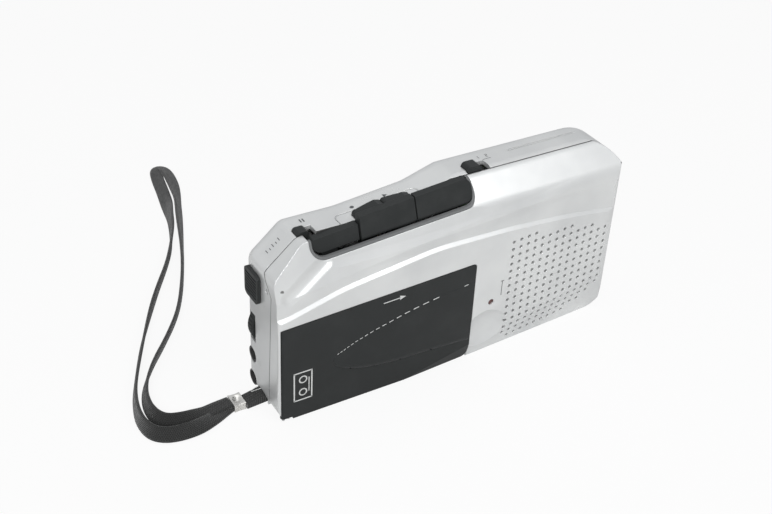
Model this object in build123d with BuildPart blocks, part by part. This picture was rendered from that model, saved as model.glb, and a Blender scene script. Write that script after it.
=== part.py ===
from build123d import *
import os
from math import radians, tan

os.makedirs("parts", exist_ok=True)

# Case. Distances along the case start at the end that has the sockets.
case_length = 120.0
case_depth = 22.0
case_height = 62.0
wall = 1.4
back_radius = 4.5
far_corner_radius = 7.5
near_corner_radius = 1.0
dip_height = case_height - 5.7
bevel_foot = dip_height - 8.8
bevel_run = 10.0
dip_end = 27.0
ramp_start = 49.5
ramp_foot = case_height - 3.4
ramp_end = 60.5
outline_radii = [5.0, 4.0, 4.0, 30.0, 12.0, 8.0, 13.0, 6.0]
shoulder_start = case_height - 15.0
shoulder_depth = 1.8
shoulder_turn = case_height - 8.0
shoulder_radii = [8.0, 7.0, 6.0]
ridge_step = 0.9
# The ridge across the front: distances along the case, and how far below the top
ridge_line = [(-6, 25.8), (3, 25.1), (20.5, 20.4), (51, 16.3), (76.4, 16.9), (98, 18.5), (130, 23.0)]
ridge_radii = [20.0, 60.0, 60.0, 150.0, 150.0]
crease_rise = 11.0
crease_start = case_height - 18.0
crease_slope = 0.36
chin_start = -9.0
chin_end = 18.0
chin_drop = 3.6
chin_height = 13.0

# Seam between the two shells
seam_top = 9.2
seam_end = 4.4
seam_foot = 7.0
seam_step_high = bevel_foot
seam_step_low = seam_step_high - 5.5

# Running and assembly clearances
fit = 0.05
gap = 0.15
loose = 0.3

# Slide knob on the socket end
knob_proud = 1.2
knob_width = 8.4
knob_height = 9.4
knob_low = bevel_foot - 11.9
knob_front = 10.6
knob_travel = 2.0
knob_ribs = 7
rib_depth = 0.35

# Cassette lid
lid_left = 0.8
lid_right = 65.0
lid_top = 35.85
lid_top_left = 33.3
lid_foot = 0.4
lid_thickness = 1.5
knuckle_radius = 0.95
pin_radius = 0.45
pin_above = 1.6
tab_length = 3.6
tab_height = 0.95
lid_corner = 1.2
window_outline = [(17.6, 16.8), (30.0, 10.9), (61.4, 8.6), (61.4, 28.6), (47.6, 26.8)]
window_radii = [2.0, 12.0, 1.5, 1.0, 10.0]
window_thickness = 0.8
window_ledge = 0.9
catch_height = 6.0
catch_reach = 0.9

# Keys
bank_left = 12.9
bank_right = 64.3
bank_foot_left = dip_height - 5.15
bank_foot_right = dip_height - 0.7
bank_top_left = dip_height + 1.2
bank_top_right = case_height + 0.15
stop_key_drop = 2.1
key_split_one = 27.9
key_split_two = 45.8
key_gap = 0.4
key_face_left = 5.2
key_face_right = 3.9
stem_places = [19.0, 43.0, 58.2]
key_face_high = 6.6
key_travel = 2.4
lip = 1.0
lip_inset = 0.25
stem_width = 5.0
stem_thickness = 2.0
frame_top = bank_foot_left - 5.75
frame_thickness = 1.4
stem_below = 0.2
cap_left = 28.8
cap_split = 37.7
cap_right = 46.8
cap_depth = 3.0
cap_high = case_height - 2.6
cap_low = case_height - 4.4

# Slides on the top
pause_start = 10.2
pause_length = 6.0
pause_width = 3.6
pause_travel = 2.0
speed_start = 65.3
speed_length = 8.0
speed_width = 4.2
speed_travel = 3.0
slide_proud = 1.3
groove_start = 83.0
groove_length = 25.5
groove_width = 0.8
groove_depth = 0.4

# Tape deck
deck_thickness = 1.0
deck_top = frame_top + 3.6
bay_depth = 9.9
spindle_spacing = 23.2
tape_middle = 36.5
spindle_radius = 2.3
spindle_length = 6.0
gear_radius = 6.0
gear_thickness = 1.4
capstan_place = 50.6
capstan_height = frame_top - 14.2
spindle_height = capstan_height - 13.8
capstan_radius = 0.8
capstan_length = 7.0
bearing_radius = 2.0
flywheel_radius = 11.0
flywheel_thickness = 2.2
flywheel_gap = 6.5
groove_in_rim = 0.7
motor_place = 23.5
motor_height = capstan_height + 1.0
motor_radius = 8.0
motor_depth = 6.0
pulley_radius = 2.8
belt = 0.8
roller_radius = 3.0
roller_width = 5.2
head_width = 8.0
head_height = 4.2
head_depth = 5.4
erase_width = 4.0
plate_height = 3.6
plate_left = 18.5
plate_right = 56.5
plate_thickness = 0.9

# Power
cell_radius = 7.1
cell_length = 50.5
cell_start = 66.9
cell_foot = 3.0
cell_depth = 12.2
nub_radius = 2.7
nub_length = 1.1
contact = 0.35
cover_start = 66.2
cover_low = 3.2
cover_high = 33.4
cover_ledge = 1.0

# Sound
speaker_place = 94.5
speaker_height = 24.0
speaker_radius = 14.0
seat_width = 1.4
magnet_radius = 6.2
hole_radius = 0.55
hole_pitch = 2.715
hole_rise = 0.25
grille_start = 78.0
grille_top = case_height - 22.4
row_pitch = 2.66
column_steps = [0, 0, 0, 0, 1, 1, 1, 1, 1, 2, 2, 2, 3, 3]
mic_height = bevel_foot - 5.0
mic_depth = 7.2
mic_radius = 0.8
capsule_radius = 2.0

# Sockets, wheel and lamp
socket_radius = 2.55
socket_length = 12.0
ear_height = 13.3
ear_depth = 17.6
power_height = 4.6
power_depth = 17.6
ear_bore = 1.8
power_bore = 2.0
power_pin = 0.6
wheel_radius = 7.5
wheel_thickness = 3.0
wheel_proud = 0.9
wheel_height = 24.0
wheel_front = 15.6
slot_height = 10.0
slot_width = 4.2
lamp_place = 71.7
lamp_height = 19.6
lamp_radius = 1.0

# Thumb scoop beside the lid
scoop_place = 70.6
scoop_height = 9.2
scoop_radius = 12.2
scoop_depth = 2.6

# Boards and screws
board_thickness = 1.2
board_depth = 14.0
board_left = 68.0
board_right = 116.0
board_low = 35.6
board_high = case_height - 8.4
end_board_depth = 12.2
end_board_low = 7.6
end_board_high = bevel_foot - 3.9
screw_places = [(6.0, bevel_foot + 0.5), (67.7, 34.6), (114.0, 36.6), (84.0, case_height - 5.4)]
screw_start = 8.6
post_radius = 2.0
post_end = 15.7
screw_radius = 0.85
screw_head_radius = 1.7
screw_head_height = 1.2
screw_seat = 17.0

# Wrist strap
strap_width = 4.7
strap_thickness = 1.0
strap_depth = 12.0
post_bar_radius = 0.7
post_bar_place = 3.4
post_bar_height = 2.6
crimp_start = -9.2
crimp_length = 3.7
crimp_width = 5.4
crimp_height = 2.6
lane_left = [(-9.2, 1.65), (-12.2, 1.65), (-17.6, -0.3), (-24.5, -2.1), (-30.6, 0.6), (-33.1, 8.8), (-29.9, 20.8),
             (-21.2, 38.4), (-8.4, 60.2), (4.7, 80.4), (13.4, 97.0), (18.8, 109.5), (21.8, 121.5),
             (23.1, 136.0)]
lane_right = [(-9.2, 2.35), (-14.6, 2.35), (-22.2, 3.2), (-28.4, 5.2), (-31.0, 11.6), (-28.4, 21.6),
              (-19.4, 34.4), (-6.3, 52.6), (6.8, 80.6), (13.8, 101.5), (15.6, 113.5), (17.8, 124.5),
              (19.0, 136.0)]
bight_radius = 4.3

left_x = -(case_length - knob_proud) / 2
right_x = left_x + case_length
front_y = -case_depth / 2
back_y = case_depth / 2


def along(distance):
    return left_x + distance


def depth(distance):
    return front_y + distance


def facing(y):
    return Plane.XZ.offset(-y)


def block(start, end, front, back, low, high, mode=Mode.ADD):
    """A box between two distances along the case, two depths and two heights."""
    middle = (along((start + end) / 2), depth((front + back) / 2), (low + high) / 2)
    with Locations(middle):
        Box(end - start, back - front, high - low, mode=mode)


def rod(place, height, radius, front, back, mode=Mode.ADD):
    """A cylinder that runs from front to back."""
    with Locations(Location((along(place), depth(back), height), (90, 0, 0))):
        Cylinder(radius, back - front, align=(Align.CENTER, Align.CENTER, Align.MIN), mode=mode)


def lengthwise(start, end, y_distance, height, radius, mode=Mode.ADD):
    """A cylinder that runs along the case."""
    with Locations(Location((along(start), depth(y_distance), height), (0, 90, 0))):
        Cylinder(radius, end - start, align=(Align.CENTER, Align.CENTER, Align.MIN), mode=mode)


def prism(points, radii, grow, front, back):
    """An outline seen from the front, with rounded corners, made solid between two depths."""
    with BuildPart() as made:
        with BuildSketch(facing(depth(back))):
            with BuildLine():
                FilletPolyline([(along(d), z) for d, z in points], radius=radii, close=True)
            make_face()
            if grow:
                offset(amount=grow)
        extrude(amount=back - front)
    return made.part


def finish(piece, name):
    piece.part.label = name
    export_step(piece.part, "parts/" + name + ".step")


# Case outline from the front: bevel at the socket end, dip for the keys, ramp to the full height
case_outline = [(0, 0), (0, bevel_foot), (bevel_run, dip_height), (dip_end, dip_height - 0.1),
                (ramp_start, ramp_foot), (ramp_end, case_height), (case_length, case_height),
                (case_length, 0)]

# The whole outer form, which both shells, the lid and the battery cover share
with BuildPart() as form:
    add(prism(case_outline, outline_radii, 0, 0, case_depth))
    fillet(form.faces().sort_by(Axis.Y)[-1].edges(), back_radius)
    with BuildSketch(Plane.XY.offset(-1)):
        with BuildLine():
            FilletPolyline([(left_x, front_y), (right_x, front_y), (right_x, back_y + 1),
                            (left_x, back_y + 1)],
                           radius=[near_corner_radius, far_corner_radius, 0.5, 0.5], close=True)
        make_face()
    extrude(amount=case_height + 2, mode=Mode.INTERSECT)
    with BuildSketch(Plane.YZ.offset(left_x - 1)):
        with BuildLine():
            FilletPolyline([(front_y, -1), (front_y, shoulder_start),
                            (front_y + shoulder_depth, shoulder_turn),
                            (depth(seam_top), case_height + 0.05), (back_y + 1, case_height + 0.5),
                            (back_y + 1, -1)],
                           radius=[0, shoulder_radii[0], shoulder_radii[1], shoulder_radii[2], 0, 0],
                           close=True)
        make_face()
    extrude(amount=case_length + 2, mode=Mode.INTERSECT)
    crease_place = Vector(along(16), front_y + ridge_step, crease_start)
    crease_along = Vector(82, 0, crease_rise)
    crease_up = Vector(0, crease_slope, 1)
    split(bisect_by=Plane(crease_place, x_dir=crease_along, z_dir=crease_along.cross(crease_up)),
          keep=Keep.BOTTOM)
    chin_place = Vector(along(0), front_y, chin_start)
    chin_along = Vector(case_length, 0, chin_end - chin_start)
    chin_up = Vector(0, -chin_drop, chin_height)
    split(bisect_by=Plane(chin_place, x_dir=chin_along, z_dir=chin_along.cross(chin_up)),
          keep=Keep.BOTTOM)
    with BuildSketch(facing(front_y + ridge_step)):
        with BuildLine():
            FilletPolyline([(along(d), case_height - drop) for d, drop in ridge_line]
                           + [(along(130), case_height + 28), (along(-6), case_height + 28)],
                           radius=[0] + ridge_radii + [0, 0, 0], close=True)
        make_face()
    extrude(amount=ridge_step + 0.01, taper=-50, mode=Mode.SUBTRACT)

# The front shell's share of the form, in front of the seam
seam_line = [(depth(-1), -1), (depth(seam_foot), -1), (depth(seam_end), seam_step_low),
             (depth(seam_top), seam_step_high), (depth(seam_top), case_height + 2),
             (depth(-1), case_height + 2)]


def seam_prism(shift):
    with BuildPart() as made:
        with BuildSketch(Plane.YZ.offset(left_x - 2)):
            with BuildLine():
                Polyline([(y + (shift if i in (1, 2, 3, 4) else 0), z)
                          for i, (y, z) in enumerate(seam_line)], close=True)
            make_face()
        extrude(amount=case_length + 4)
    return made.part


with BuildPart() as front_room:
    add(form.part.moved(Location((0, wall, 0))))
    add(prism(case_outline, outline_radii, -wall, -1, case_depth + 1), mode=Mode.INTERSECT)

# Keys as one bank, from which each key is cut
bank_outline = [(bank_left, bank_foot_left), (bank_left, bank_top_left), (bank_right, bank_top_right),
                (bank_right, bank_foot_right)]
bank_radii = [3.5, 1.5, 2.2, 3.0]
bank_rise = (bank_foot_right - bank_foot_left) / (bank_right - bank_left)


def bank_section(face, low, high):
    return [(depth(face), low - 1), (depth(face), low + 0.6),
            (depth(key_face_high), high), (depth(seam_top) - lip_inset, high),
            (depth(seam_top) - lip_inset, low - 1)]


with BuildPart() as bank:
    for place, face, low, high in ((bank_left - 1, key_face_left, bank_foot_left, bank_top_left),
                                   (bank_right + 1, key_face_right, bank_foot_right, bank_top_right)):
        with BuildSketch(Plane.YZ.offset(along(place))):
            with BuildLine():
                Polyline(bank_section(face, low, high), close=True)
            make_face()
    loft(ruled=True)
    add(prism(bank_outline, bank_radii, 0, -1, case_depth), mode=Mode.INTERSECT)

key_ends = [(bank_left - 1, key_split_one - key_gap / 2),
            (key_split_one + key_gap / 2, key_split_two - key_gap / 2),
            (key_split_two + key_gap / 2, bank_right + 1)]
stem_front = key_face_high - 0.2
stem_back = stem_front + stem_thickness
stem_end = frame_top - frame_thickness - stem_below
cap_places = [(cap_left + cap_split) / 2, (cap_split + cap_right) / 2]
cap_stem_front = seam_top + 0.2

# The head plate at rest: it lies above the capstan by the keys' travel
roller_height = capstan_height + capstan_radius + roller_radius + key_travel + 0.1
plate_low = roller_height + 0.1
plate_high = plate_low + plate_height
head_low = roller_height - 0.5
cap_stem_ends = [stem_end, plate_high + stem_below]

# Room that the lid's lower edge takes out of the bottom of the front shell
with BuildPart() as lid_sweep:
    add(form.part)
    add(form.part.moved(Location((0, lid_thickness + gap, 0))), mode=Mode.SUBTRACT)
    block(tab_length, lid_right + gap, -1, seam_foot, -1, tab_height + 1, mode=Mode.INTERSECT)

# Front shell
lid_opening_right = lid_right + gap
lid_opening_top = lid_top + gap
bay_wall = 1.2
room_back = bay_depth
with BuildPart() as front_shell:
    add(form.part)
    add(seam_prism(0), mode=Mode.INTERSECT)
    add(front_room.part, mode=Mode.SUBTRACT)
    # Walls round the cassette bay, and the seat ring of the speaker
    block(lid_opening_right, lid_opening_right + bay_wall, wall - 0.1, room_back, wall + fit, deck_top)
    block(lid_opening_right + 0.2, grille_start - 1.5, wall - 0.2, scoop_depth + 1.2, wall + fit, lamp_height - 2)
    block(wall + fit, plate_left - 1, wall - 0.1, room_back, lid_opening_top, lid_opening_top + bay_wall)
    block(plate_right + 1, lid_opening_right + 0.1, wall - 0.1, room_back, lid_opening_top,
          lid_opening_top + bay_wall)
    rod(speaker_place, speaker_height, speaker_radius + seat_width, wall - 0.1, wall + 1.4)
    rod(speaker_place, speaker_height, speaker_radius - 1, wall - 0.1, wall + 2, mode=Mode.SUBTRACT)
    for place, height in screw_places:
        rod(place, height, post_radius, wall - 0.1, post_end)
        rod(place, height, screw_radius + fit, screw_start - gap, post_end + 1, mode=Mode.SUBTRACT)
    add(form.part, mode=Mode.INTERSECT)
    # Opening for the lid, over the small tab that carries the lower end of the hinge pin
    add(prism([(lid_left - gap, tab_height), (lid_left - gap, lid_top_left + gap),
               (lid_opening_right, lid_opening_top), (lid_opening_right, tab_height)],
              [0, 0.4, lid_corner + gap, 0], 0, -1, room_back), mode=Mode.SUBTRACT)
    add(lid_sweep.part, mode=Mode.SUBTRACT)
    block(-1, tab_length, -1, 0.5, -1, tab_height, mode=Mode.SUBTRACT)
    # Key pocket
    add(prism(bank_outline, bank_radii, lip + fit, -1, seam_top + 1), mode=Mode.SUBTRACT)
    # Hinge pin holes, above and below the lid
    with Locations((along(lid_left + knuckle_radius), depth(knuckle_radius), -1)):
        Cylinder(pin_radius, lid_top_left + pin_above + stem_below + 1,
                 align=(Align.CENTER, Align.CENTER, Align.MIN), mode=Mode.SUBTRACT)
    # Thumb scoop beside the lid, lamp hole and speaker holes
    with Locations((along(scoop_place), depth(scoop_depth) - scoop_radius, scoop_height)):
        Sphere(scoop_radius, mode=Mode.SUBTRACT)
    rod(lamp_place, lamp_height, lamp_radius, -1, wall + 1, mode=Mode.SUBTRACT)
    holes = []
    for column, dropped in enumerate(column_steps):
        place = grille_start + column * hole_pitch
        lowest = 2.6 + (max(0, place - 93) / 20.3) ** 2 * 8.4
        row = 0
        while True:
            height = grille_top + hole_rise * column - (row + dropped) * row_pitch
            if height < lowest:
                break
            holes.append((along(place), height))
            row += 1
    with BuildSketch(facing(depth(-1))):
        with Locations(*holes):
            Circle(hole_radius)
    extrude(amount=-(wall + 6.6), mode=Mode.SUBTRACT)
finish(front_shell, "front_shell")

# Lip round the keys, with room for the last key's lower corner as it goes down
with BuildPart() as bank_end:
    add(bank.part)
    block(bank_right - 4, bank_right + 1, -1, case_depth, bank_foot_left - 2, bank_top_right + 2, mode=Mode.INTERSECT)

with BuildPart() as key_surround:
    add(form.part)
    add(seam_prism(-fit), mode=Mode.INTERSECT)
    add(prism(bank_outline, bank_radii, lip, -1, case_depth), mode=Mode.INTERSECT)
    add(prism(bank_outline, bank_radii, lip_inset, -1, case_depth), mode=Mode.SUBTRACT)
    add(form.part.moved(Location((0, lip, 0))), mode=Mode.SUBTRACT)
    for step in range(1, 13):
        add(bank_end.part.moved(Location((0.08, -0.06, -key_travel * step / 12 - 0.03))), mode=Mode.SUBTRACT)
finish(key_surround, "key_surround")

# Back shell
back_room_depth = case_depth - wall
wheel_place = wheel_radius - wheel_proud
cover_end = case_length + 1
with BuildPart() as back_shell:
    add(form.part)
    add(seam_prism(fit), mode=Mode.SUBTRACT)
    with BuildPart(mode=Mode.PRIVATE) as room:
        add(prism(case_outline, outline_radii, -wall, -1, back_room_depth))
        fillet(room.faces().sort_by(Axis.Y)[-1].edges(), back_radius - wall)
    add(room.part, mode=Mode.SUBTRACT)
    # Screw posts
    for place, height in screw_places:
        rod(place, height, post_radius + 0.6, post_end + gap, back_room_depth + 0.2)
        rod(place, height, screw_radius + gap, post_end - 1, case_depth + 1, mode=Mode.SUBTRACT)
        rod(place, height, screw_head_radius + gap, screw_seat, case_depth + 1, mode=Mode.SUBTRACT)
    # Ledges for the battery cover
    for low, high in ((cover_low - 1.2, cover_low + cover_ledge), (cover_high - cover_ledge, cover_high + 1.2)):
        block(cover_start - 1.2, case_length - wall - 1, back_room_depth - 1.0, back_room_depth + 0.2, low, high)
    block(cover_start - 1.2, cover_start + cover_ledge, back_room_depth - 1.0, back_room_depth + 0.2,
          cover_low, cover_high)
    add(form.part, mode=Mode.INTERSECT)
    # Opening for the battery cover
    block(cover_start - gap, cover_end, back_room_depth, case_depth + 1, cover_low - gap, cover_high + gap,
          mode=Mode.SUBTRACT)
    block(cover_start + cover_ledge, case_length - back_radius, back_room_depth - 2, case_depth,
          cover_low + cover_ledge, cover_high - cover_ledge, mode=Mode.SUBTRACT)
    # Cheeks that carry the strap bar
    for front in (strap_depth - strap_width / 2 - 1.2, strap_depth + strap_width / 2 + 0.4):
        block(wall / 2, post_bar_place + 1.1, front, front + 0.6, wall / 2, post_bar_height + 1.0)
    rod(post_bar_place, post_bar_height, post_bar_radius + 0.02, strap_depth - 3.45, strap_depth + 3.05,
        mode=Mode.SUBTRACT)
    # Knob, wheel, socket and strap openings in the end
    block(-1, wall + 1, knob_front + 2, knob_front + knob_width - 2.4, knob_low + 1 - gap,
          knob_low + knob_height - 3.4 + knob_travel + gap, mode=Mode.SUBTRACT)
    block(-1, wall + 2, wheel_front - 0.6, wheel_front + slot_width - 0.6, wheel_height - slot_height / 2,
          wheel_height + slot_height / 2, mode=Mode.SUBTRACT)
    rod(wheel_place, wheel_height, wheel_radius + loose, wheel_front - 0.6,
        wheel_front + slot_width - 0.6, mode=Mode.SUBTRACT)
    lengthwise(-1, back_radius, ear_depth, ear_height, socket_radius + fit, mode=Mode.SUBTRACT)
    lengthwise(-1, back_radius, power_depth, power_height, socket_radius + fit, mode=Mode.SUBTRACT)
    lengthwise(-1, wall + 1, mic_depth, mic_height, mic_radius, mode=Mode.SUBTRACT)
    block(-1, post_bar_place + 1.8, strap_depth - strap_width / 2 - 0.4, strap_depth + strap_width / 2 + 0.4,
          0.9, 4.3, mode=Mode.SUBTRACT)
    # Top: room for the two caps, slots of the two slides, the long groove
    block(cap_left - gap, cap_right + gap, seam_top - 1, seam_top + cap_depth + gap, ramp_foot - 6,
          case_height + 1, mode=Mode.SUBTRACT)
    block(pause_start, pause_start + pause_length, seam_top - 1, seam_top + pause_width,
          dip_height - wall - 1.0, case_height, mode=Mode.SUBTRACT)
    block(speed_start, speed_start + speed_length, seam_top - 1, seam_top + speed_width,
          case_height - wall - 1.0, case_height + 1, mode=Mode.SUBTRACT)
    block(groove_start, groove_start + groove_length, seam_top + 5.6, seam_top + 5.6 + groove_width,
          case_height - groove_depth, case_height + 1, mode=Mode.SUBTRACT)
    # Fine line round the two caps
    with BuildPart(mode=Mode.PRIVATE) as line:
        add(form.part)
        add(form.part.moved(Location((0, 0, -groove_depth))), mode=Mode.SUBTRACT)
        with BuildSketch(Plane.XY.offset(dip_height - 5)):
            with Locations((along((cap_left + cap_right) / 2 - 0.8), depth(seam_top))):
                RectangleRounded(cap_right - cap_left + 8.6, 2 * cap_depth + 3.6, 2.0)
                RectangleRounded(cap_right - cap_left + 8.0, 2 * cap_depth + 3.0, 1.7, mode=Mode.SUBTRACT)
        extrude(amount=case_height, mode=Mode.INTERSECT)
    add(line.part, mode=Mode.SUBTRACT)
finish(back_shell, "back_shell")

# Cassette lid, bent like the front of the case, with a hinge knuckle along its socket-end edge
hinge_x = along(lid_left + knuckle_radius)
hinge_y = depth(knuckle_radius)
with BuildPart() as cassette_lid:
    add(form.part)
    add(prism([(lid_left + knuckle_radius, tab_height + gap), (lid_left + knuckle_radius, lid_top_left),
               (lid_right, lid_top), (lid_right, lid_foot), (tab_length + 0.8, lid_foot),
               (tab_length + 0.8, tab_height + gap)], [0, 0, lid_corner, 2.0, 0.2, 0], 0, -1, 7),
        mode=Mode.INTERSECT)
    add(form.part.moved(Location((0, lid_thickness, 0))), mode=Mode.SUBTRACT)
    with Locations((hinge_x, hinge_y, tab_height + gap)):
        Cylinder(knuckle_radius, lid_top_left - tab_height - gap,
                 align=(Align.CENTER, Align.CENTER, Align.MIN))
        Cylinder(pin_radius + fit, lid_top, align=(Align.CENTER, Align.CENTER, Align.MIN),
                 mode=Mode.SUBTRACT)
    add(prism(window_outline, window_radii, 0, -1, 7), mode=Mode.SUBTRACT)
    # Catch hook at the free edge, and the ledge that carries the window
    block(lid_right - 2.2, lid_right - 1.0, lid_thickness - 0.3, lid_thickness + 2.6,
          lid_top / 2 - catch_height / 2, lid_top / 2 + catch_height / 2)
    block(lid_right - 2.2, lid_right - 1.0 + catch_reach, lid_thickness + 1.8, lid_thickness + 2.6,
          lid_top / 2 - catch_height / 2, lid_top / 2 + catch_height / 2)
with BuildPart() as ledge:
    add(form.part.moved(Location((0, window_thickness, 0))))
    add(form.part.moved(Location((0, lid_thickness, 0))), mode=Mode.SUBTRACT)
    add(prism(window_outline, window_radii, 0.05, -1, 7), mode=Mode.INTERSECT)
    add(prism(window_outline, window_radii, -window_ledge, -1, 8), mode=Mode.SUBTRACT)
with BuildPart() as lid_whole:
    add(cassette_lid.part)
    add(ledge.part)
finish(lid_whole, "cassette_lid")

with BuildPart() as lid_window:
    add(form.part)
    add(form.part.moved(Location((0, window_thickness - 0.02, 0))), mode=Mode.SUBTRACT)
    add(prism(window_outline, window_radii, -fit, -1, 7), mode=Mode.INTERSECT)
finish(lid_window, "lid_window")

with BuildPart() as lid_hinge_pin:
    with Locations((hinge_x, hinge_y, 0.2)):
        Cylinder(pin_radius, lid_top_left + pin_above - 0.2, align=(Align.CENTER, Align.CENTER, Align.MIN))
finish(lid_hinge_pin, "lid_hinge_pin")

# The three large keys, each with a stem that runs in the key frame
for name, (start, end), stem in zip(("stop_key", "rewind_key", "fast_forward_key"), key_ends, stem_places):
    with BuildPart() as key:
        add(bank.part)
        block(start, end, -1, case_depth, bank_foot_left - 2, bank_top_right + 2, mode=Mode.INTERSECT)
        if name == "stop_key":
            add(bank.part.moved(Location((0, 0, -stop_key_drop))), mode=Mode.INTERSECT)
        foot = bank_foot_left + bank_rise * (stem - bank_left)
        block(stem - stem_width / 2, stem + stem_width / 2, stem_front, stem_back, stem_end, foot + 1.4)
    finish(key, name)

# The two raised caps behind the middle key
cap_ends = [(cap_left, cap_split - fit, cap_low, cap_high), (cap_split + fit, cap_right, cap_high, cap_high)]
for name, (start, end, low, high), stem, foot in zip(("record_key", "play_key"), cap_ends, cap_places,
                                                     cap_stem_ends):
    with BuildPart() as cap:
        with BuildSketch(facing(depth(seam_top + cap_depth))):
            with BuildLine():
                FilletPolyline([(along(start), ramp_foot - 4.5), (along(start), low), (along(end - 2), high),
                                (along(end), high - 0.5), (along(end), ramp_foot - 4.5)],
                               radius=[0.3, 1.0, 0.8, 0.2, 0.3], close=True)
            make_face()
        extrude(amount=cap_depth - 0.1)
        block(stem - stem_width / 2, stem + stem_width / 2, cap_stem_front, cap_stem_front + stem_thickness,
              foot, ramp_foot - 4.4)
    finish(cap, name)

# Key frame: a bracket with a slot for each stem, on the deck plate
frame_front = stem_front - 2.0
frame_back = cap_stem_front + stem_thickness + 1.6
with BuildPart() as key_frame:
    block(bank_left + 2, lid_opening_right - fit, frame_front, frame_back, frame_top - frame_thickness,
          frame_top)
    for stem in stem_places:
        block(stem - stem_width / 2 - fit, stem + stem_width / 2 + fit, stem_front - fit, stem_back + fit,
              frame_top - 3, frame_top + 1, mode=Mode.SUBTRACT)
    for stem in cap_places:
        block(stem - stem_width / 2 - fit, stem + stem_width / 2 + fit, cap_stem_front - fit,
              cap_stem_front + stem_thickness + fit, frame_top - 3, frame_top + 1, mode=Mode.SUBTRACT)
finish(key_frame, "key_frame")

# Deck plate with its bearing, posts and holes
deck_front = bay_depth + fit
deck_back = deck_front + deck_thickness
spindle_places = [tape_middle - spindle_spacing / 2, tape_middle + spindle_spacing / 2]
with BuildPart() as deck_plate:
    block(wall + 1.6, lid_opening_right - fit, deck_front, deck_back, wall + 0.6, frame_top - frame_thickness)
    block(0, post_bar_place + 3, deck_front - 1, deck_back + 1, 0, post_bar_height + 2.4, mode=Mode.SUBTRACT)
    for place in spindle_places:
        rod(place, spindle_height, 1.0 + fit, deck_front - 1, deck_back + 1, mode=Mode.SUBTRACT)
    rod(capstan_place, capstan_height, bearing_radius, deck_front - 1, deck_back + 1, mode=Mode.SUBTRACT)
    rod(tape_middle, spindle_height + 6.5, 0.8, deck_back - 0.1, deck_back + gear_thickness + 0.9)
    for stem, foot in zip(cap_places, cap_stem_ends):
        block(stem - stem_width / 2 - loose, stem + stem_width / 2 + loose, deck_front - 1, deck_back + 1,
              foot - key_travel - 1, frame_top, mode=Mode.SUBTRACT)
finish(deck_plate, "deck_plate")

with BuildPart() as capstan_bearing:
    rod(capstan_place, capstan_height, bearing_radius, deck_front - 0.6, deck_back + flywheel_gap - 1.0)
    rod(capstan_place, capstan_height, capstan_radius + 0.02, deck_front - 1, deck_back + flywheel_gap,
        mode=Mode.SUBTRACT)
finish(capstan_bearing, "capstan_bearing")

# Reel spindles with fins, each with its gear behind the deck
for name, place in zip(("supply_spindle", "take_up_spindle"), spindle_places):
    with BuildPart() as spindle:
        rod(place, spindle_height, 1.0, deck_front - spindle_length, deck_back + 1)
        rod(place, spindle_height, spindle_radius - 0.7, deck_front - spindle_length, deck_front - gap)
        rod(place, spindle_height, spindle_radius + 1.6, deck_front - 1.4, deck_front - gap)
        for turn in range(3):
            with Locations(Location((along(place), depth(deck_front - gap), spindle_height),
                                    (90, 0, turn * 120))):
                Box(0.8, spindle_radius, spindle_length - 0.8,
                    align=(Align.CENTER, Align.MIN, Align.MIN))
        rod(place, spindle_height, gear_radius, deck_back + gap, deck_back + gap + gear_thickness)
        with BuildSketch(facing(depth(deck_back + gap + gear_thickness))):
            with Locations((along(place), spindle_height)):
                with PolarLocations(gear_radius, 24):
                    Rectangle(0.9, 0.8)
        extrude(amount=gear_thickness)
    finish(spindle, name)

# Idler gear between the reels
idler_radius = 4.6
with BuildPart() as idler_gear:
    rod(tape_middle, spindle_height + 6.5, idler_radius, deck_back + gap, deck_back + gap + gear_thickness)
    rod(tape_middle, spindle_height + 6.5, 0.8 + fit, deck_back, deck_back + 3, mode=Mode.SUBTRACT)
finish(idler_gear, "idler_gear")

# Capstan and flywheel turn as one
flywheel_front = deck_back + flywheel_gap - 0.7
with BuildPart() as flywheel:
    rod(capstan_place, capstan_height, flywheel_radius, flywheel_front, flywheel_front + flywheel_thickness)
    rod(capstan_place, capstan_height, flywheel_radius + 1, flywheel_front + 0.5,
        flywheel_front + flywheel_thickness - 0.5, mode=Mode.SUBTRACT)
    rod(capstan_place, capstan_height, flywheel_radius - groove_in_rim, flywheel_front + 0.4,
        flywheel_front + flywheel_thickness - 0.4)
    rod(capstan_place, capstan_height, flywheel_radius - 3, flywheel_front + 1.2, flywheel_front + 3,
        mode=Mode.SUBTRACT)
    rod(capstan_place, capstan_height, 2.2, flywheel_front + 1.1, flywheel_front + flywheel_thickness)
    rod(capstan_place, capstan_height, capstan_radius + 0.01, -1, case_depth, mode=Mode.SUBTRACT)
finish(flywheel, "flywheel")

with BuildPart() as capstan:
    rod(capstan_place, capstan_height, capstan_radius, deck_front - capstan_length,
        flywheel_front + flywheel_thickness)
finish(capstan, "capstan")

# Motor behind the deck, its pulley level with the flywheel
with BuildPart() as motor:
    rod(motor_place, motor_height, motor_radius, deck_back, deck_back + motor_depth - 1.2)
    rod(motor_place, motor_height, 3.0, deck_back + motor_depth - 1.3, deck_back + motor_depth - 0.6)
finish(motor, "motor")

pulley_front = flywheel_front
with BuildPart() as motor_pulley:
    rod(motor_place, motor_height, pulley_radius, pulley_front, pulley_front + flywheel_thickness)
    rod(motor_place, motor_height, pulley_radius + 1, pulley_front + 0.5,
        pulley_front + flywheel_thickness - 0.5, mode=Mode.SUBTRACT)
    rod(motor_place, motor_height, pulley_radius - groove_in_rim, pulley_front + 0.4,
        pulley_front + flywheel_thickness - 0.4)
finish(motor_pulley, "motor_pulley")

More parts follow.
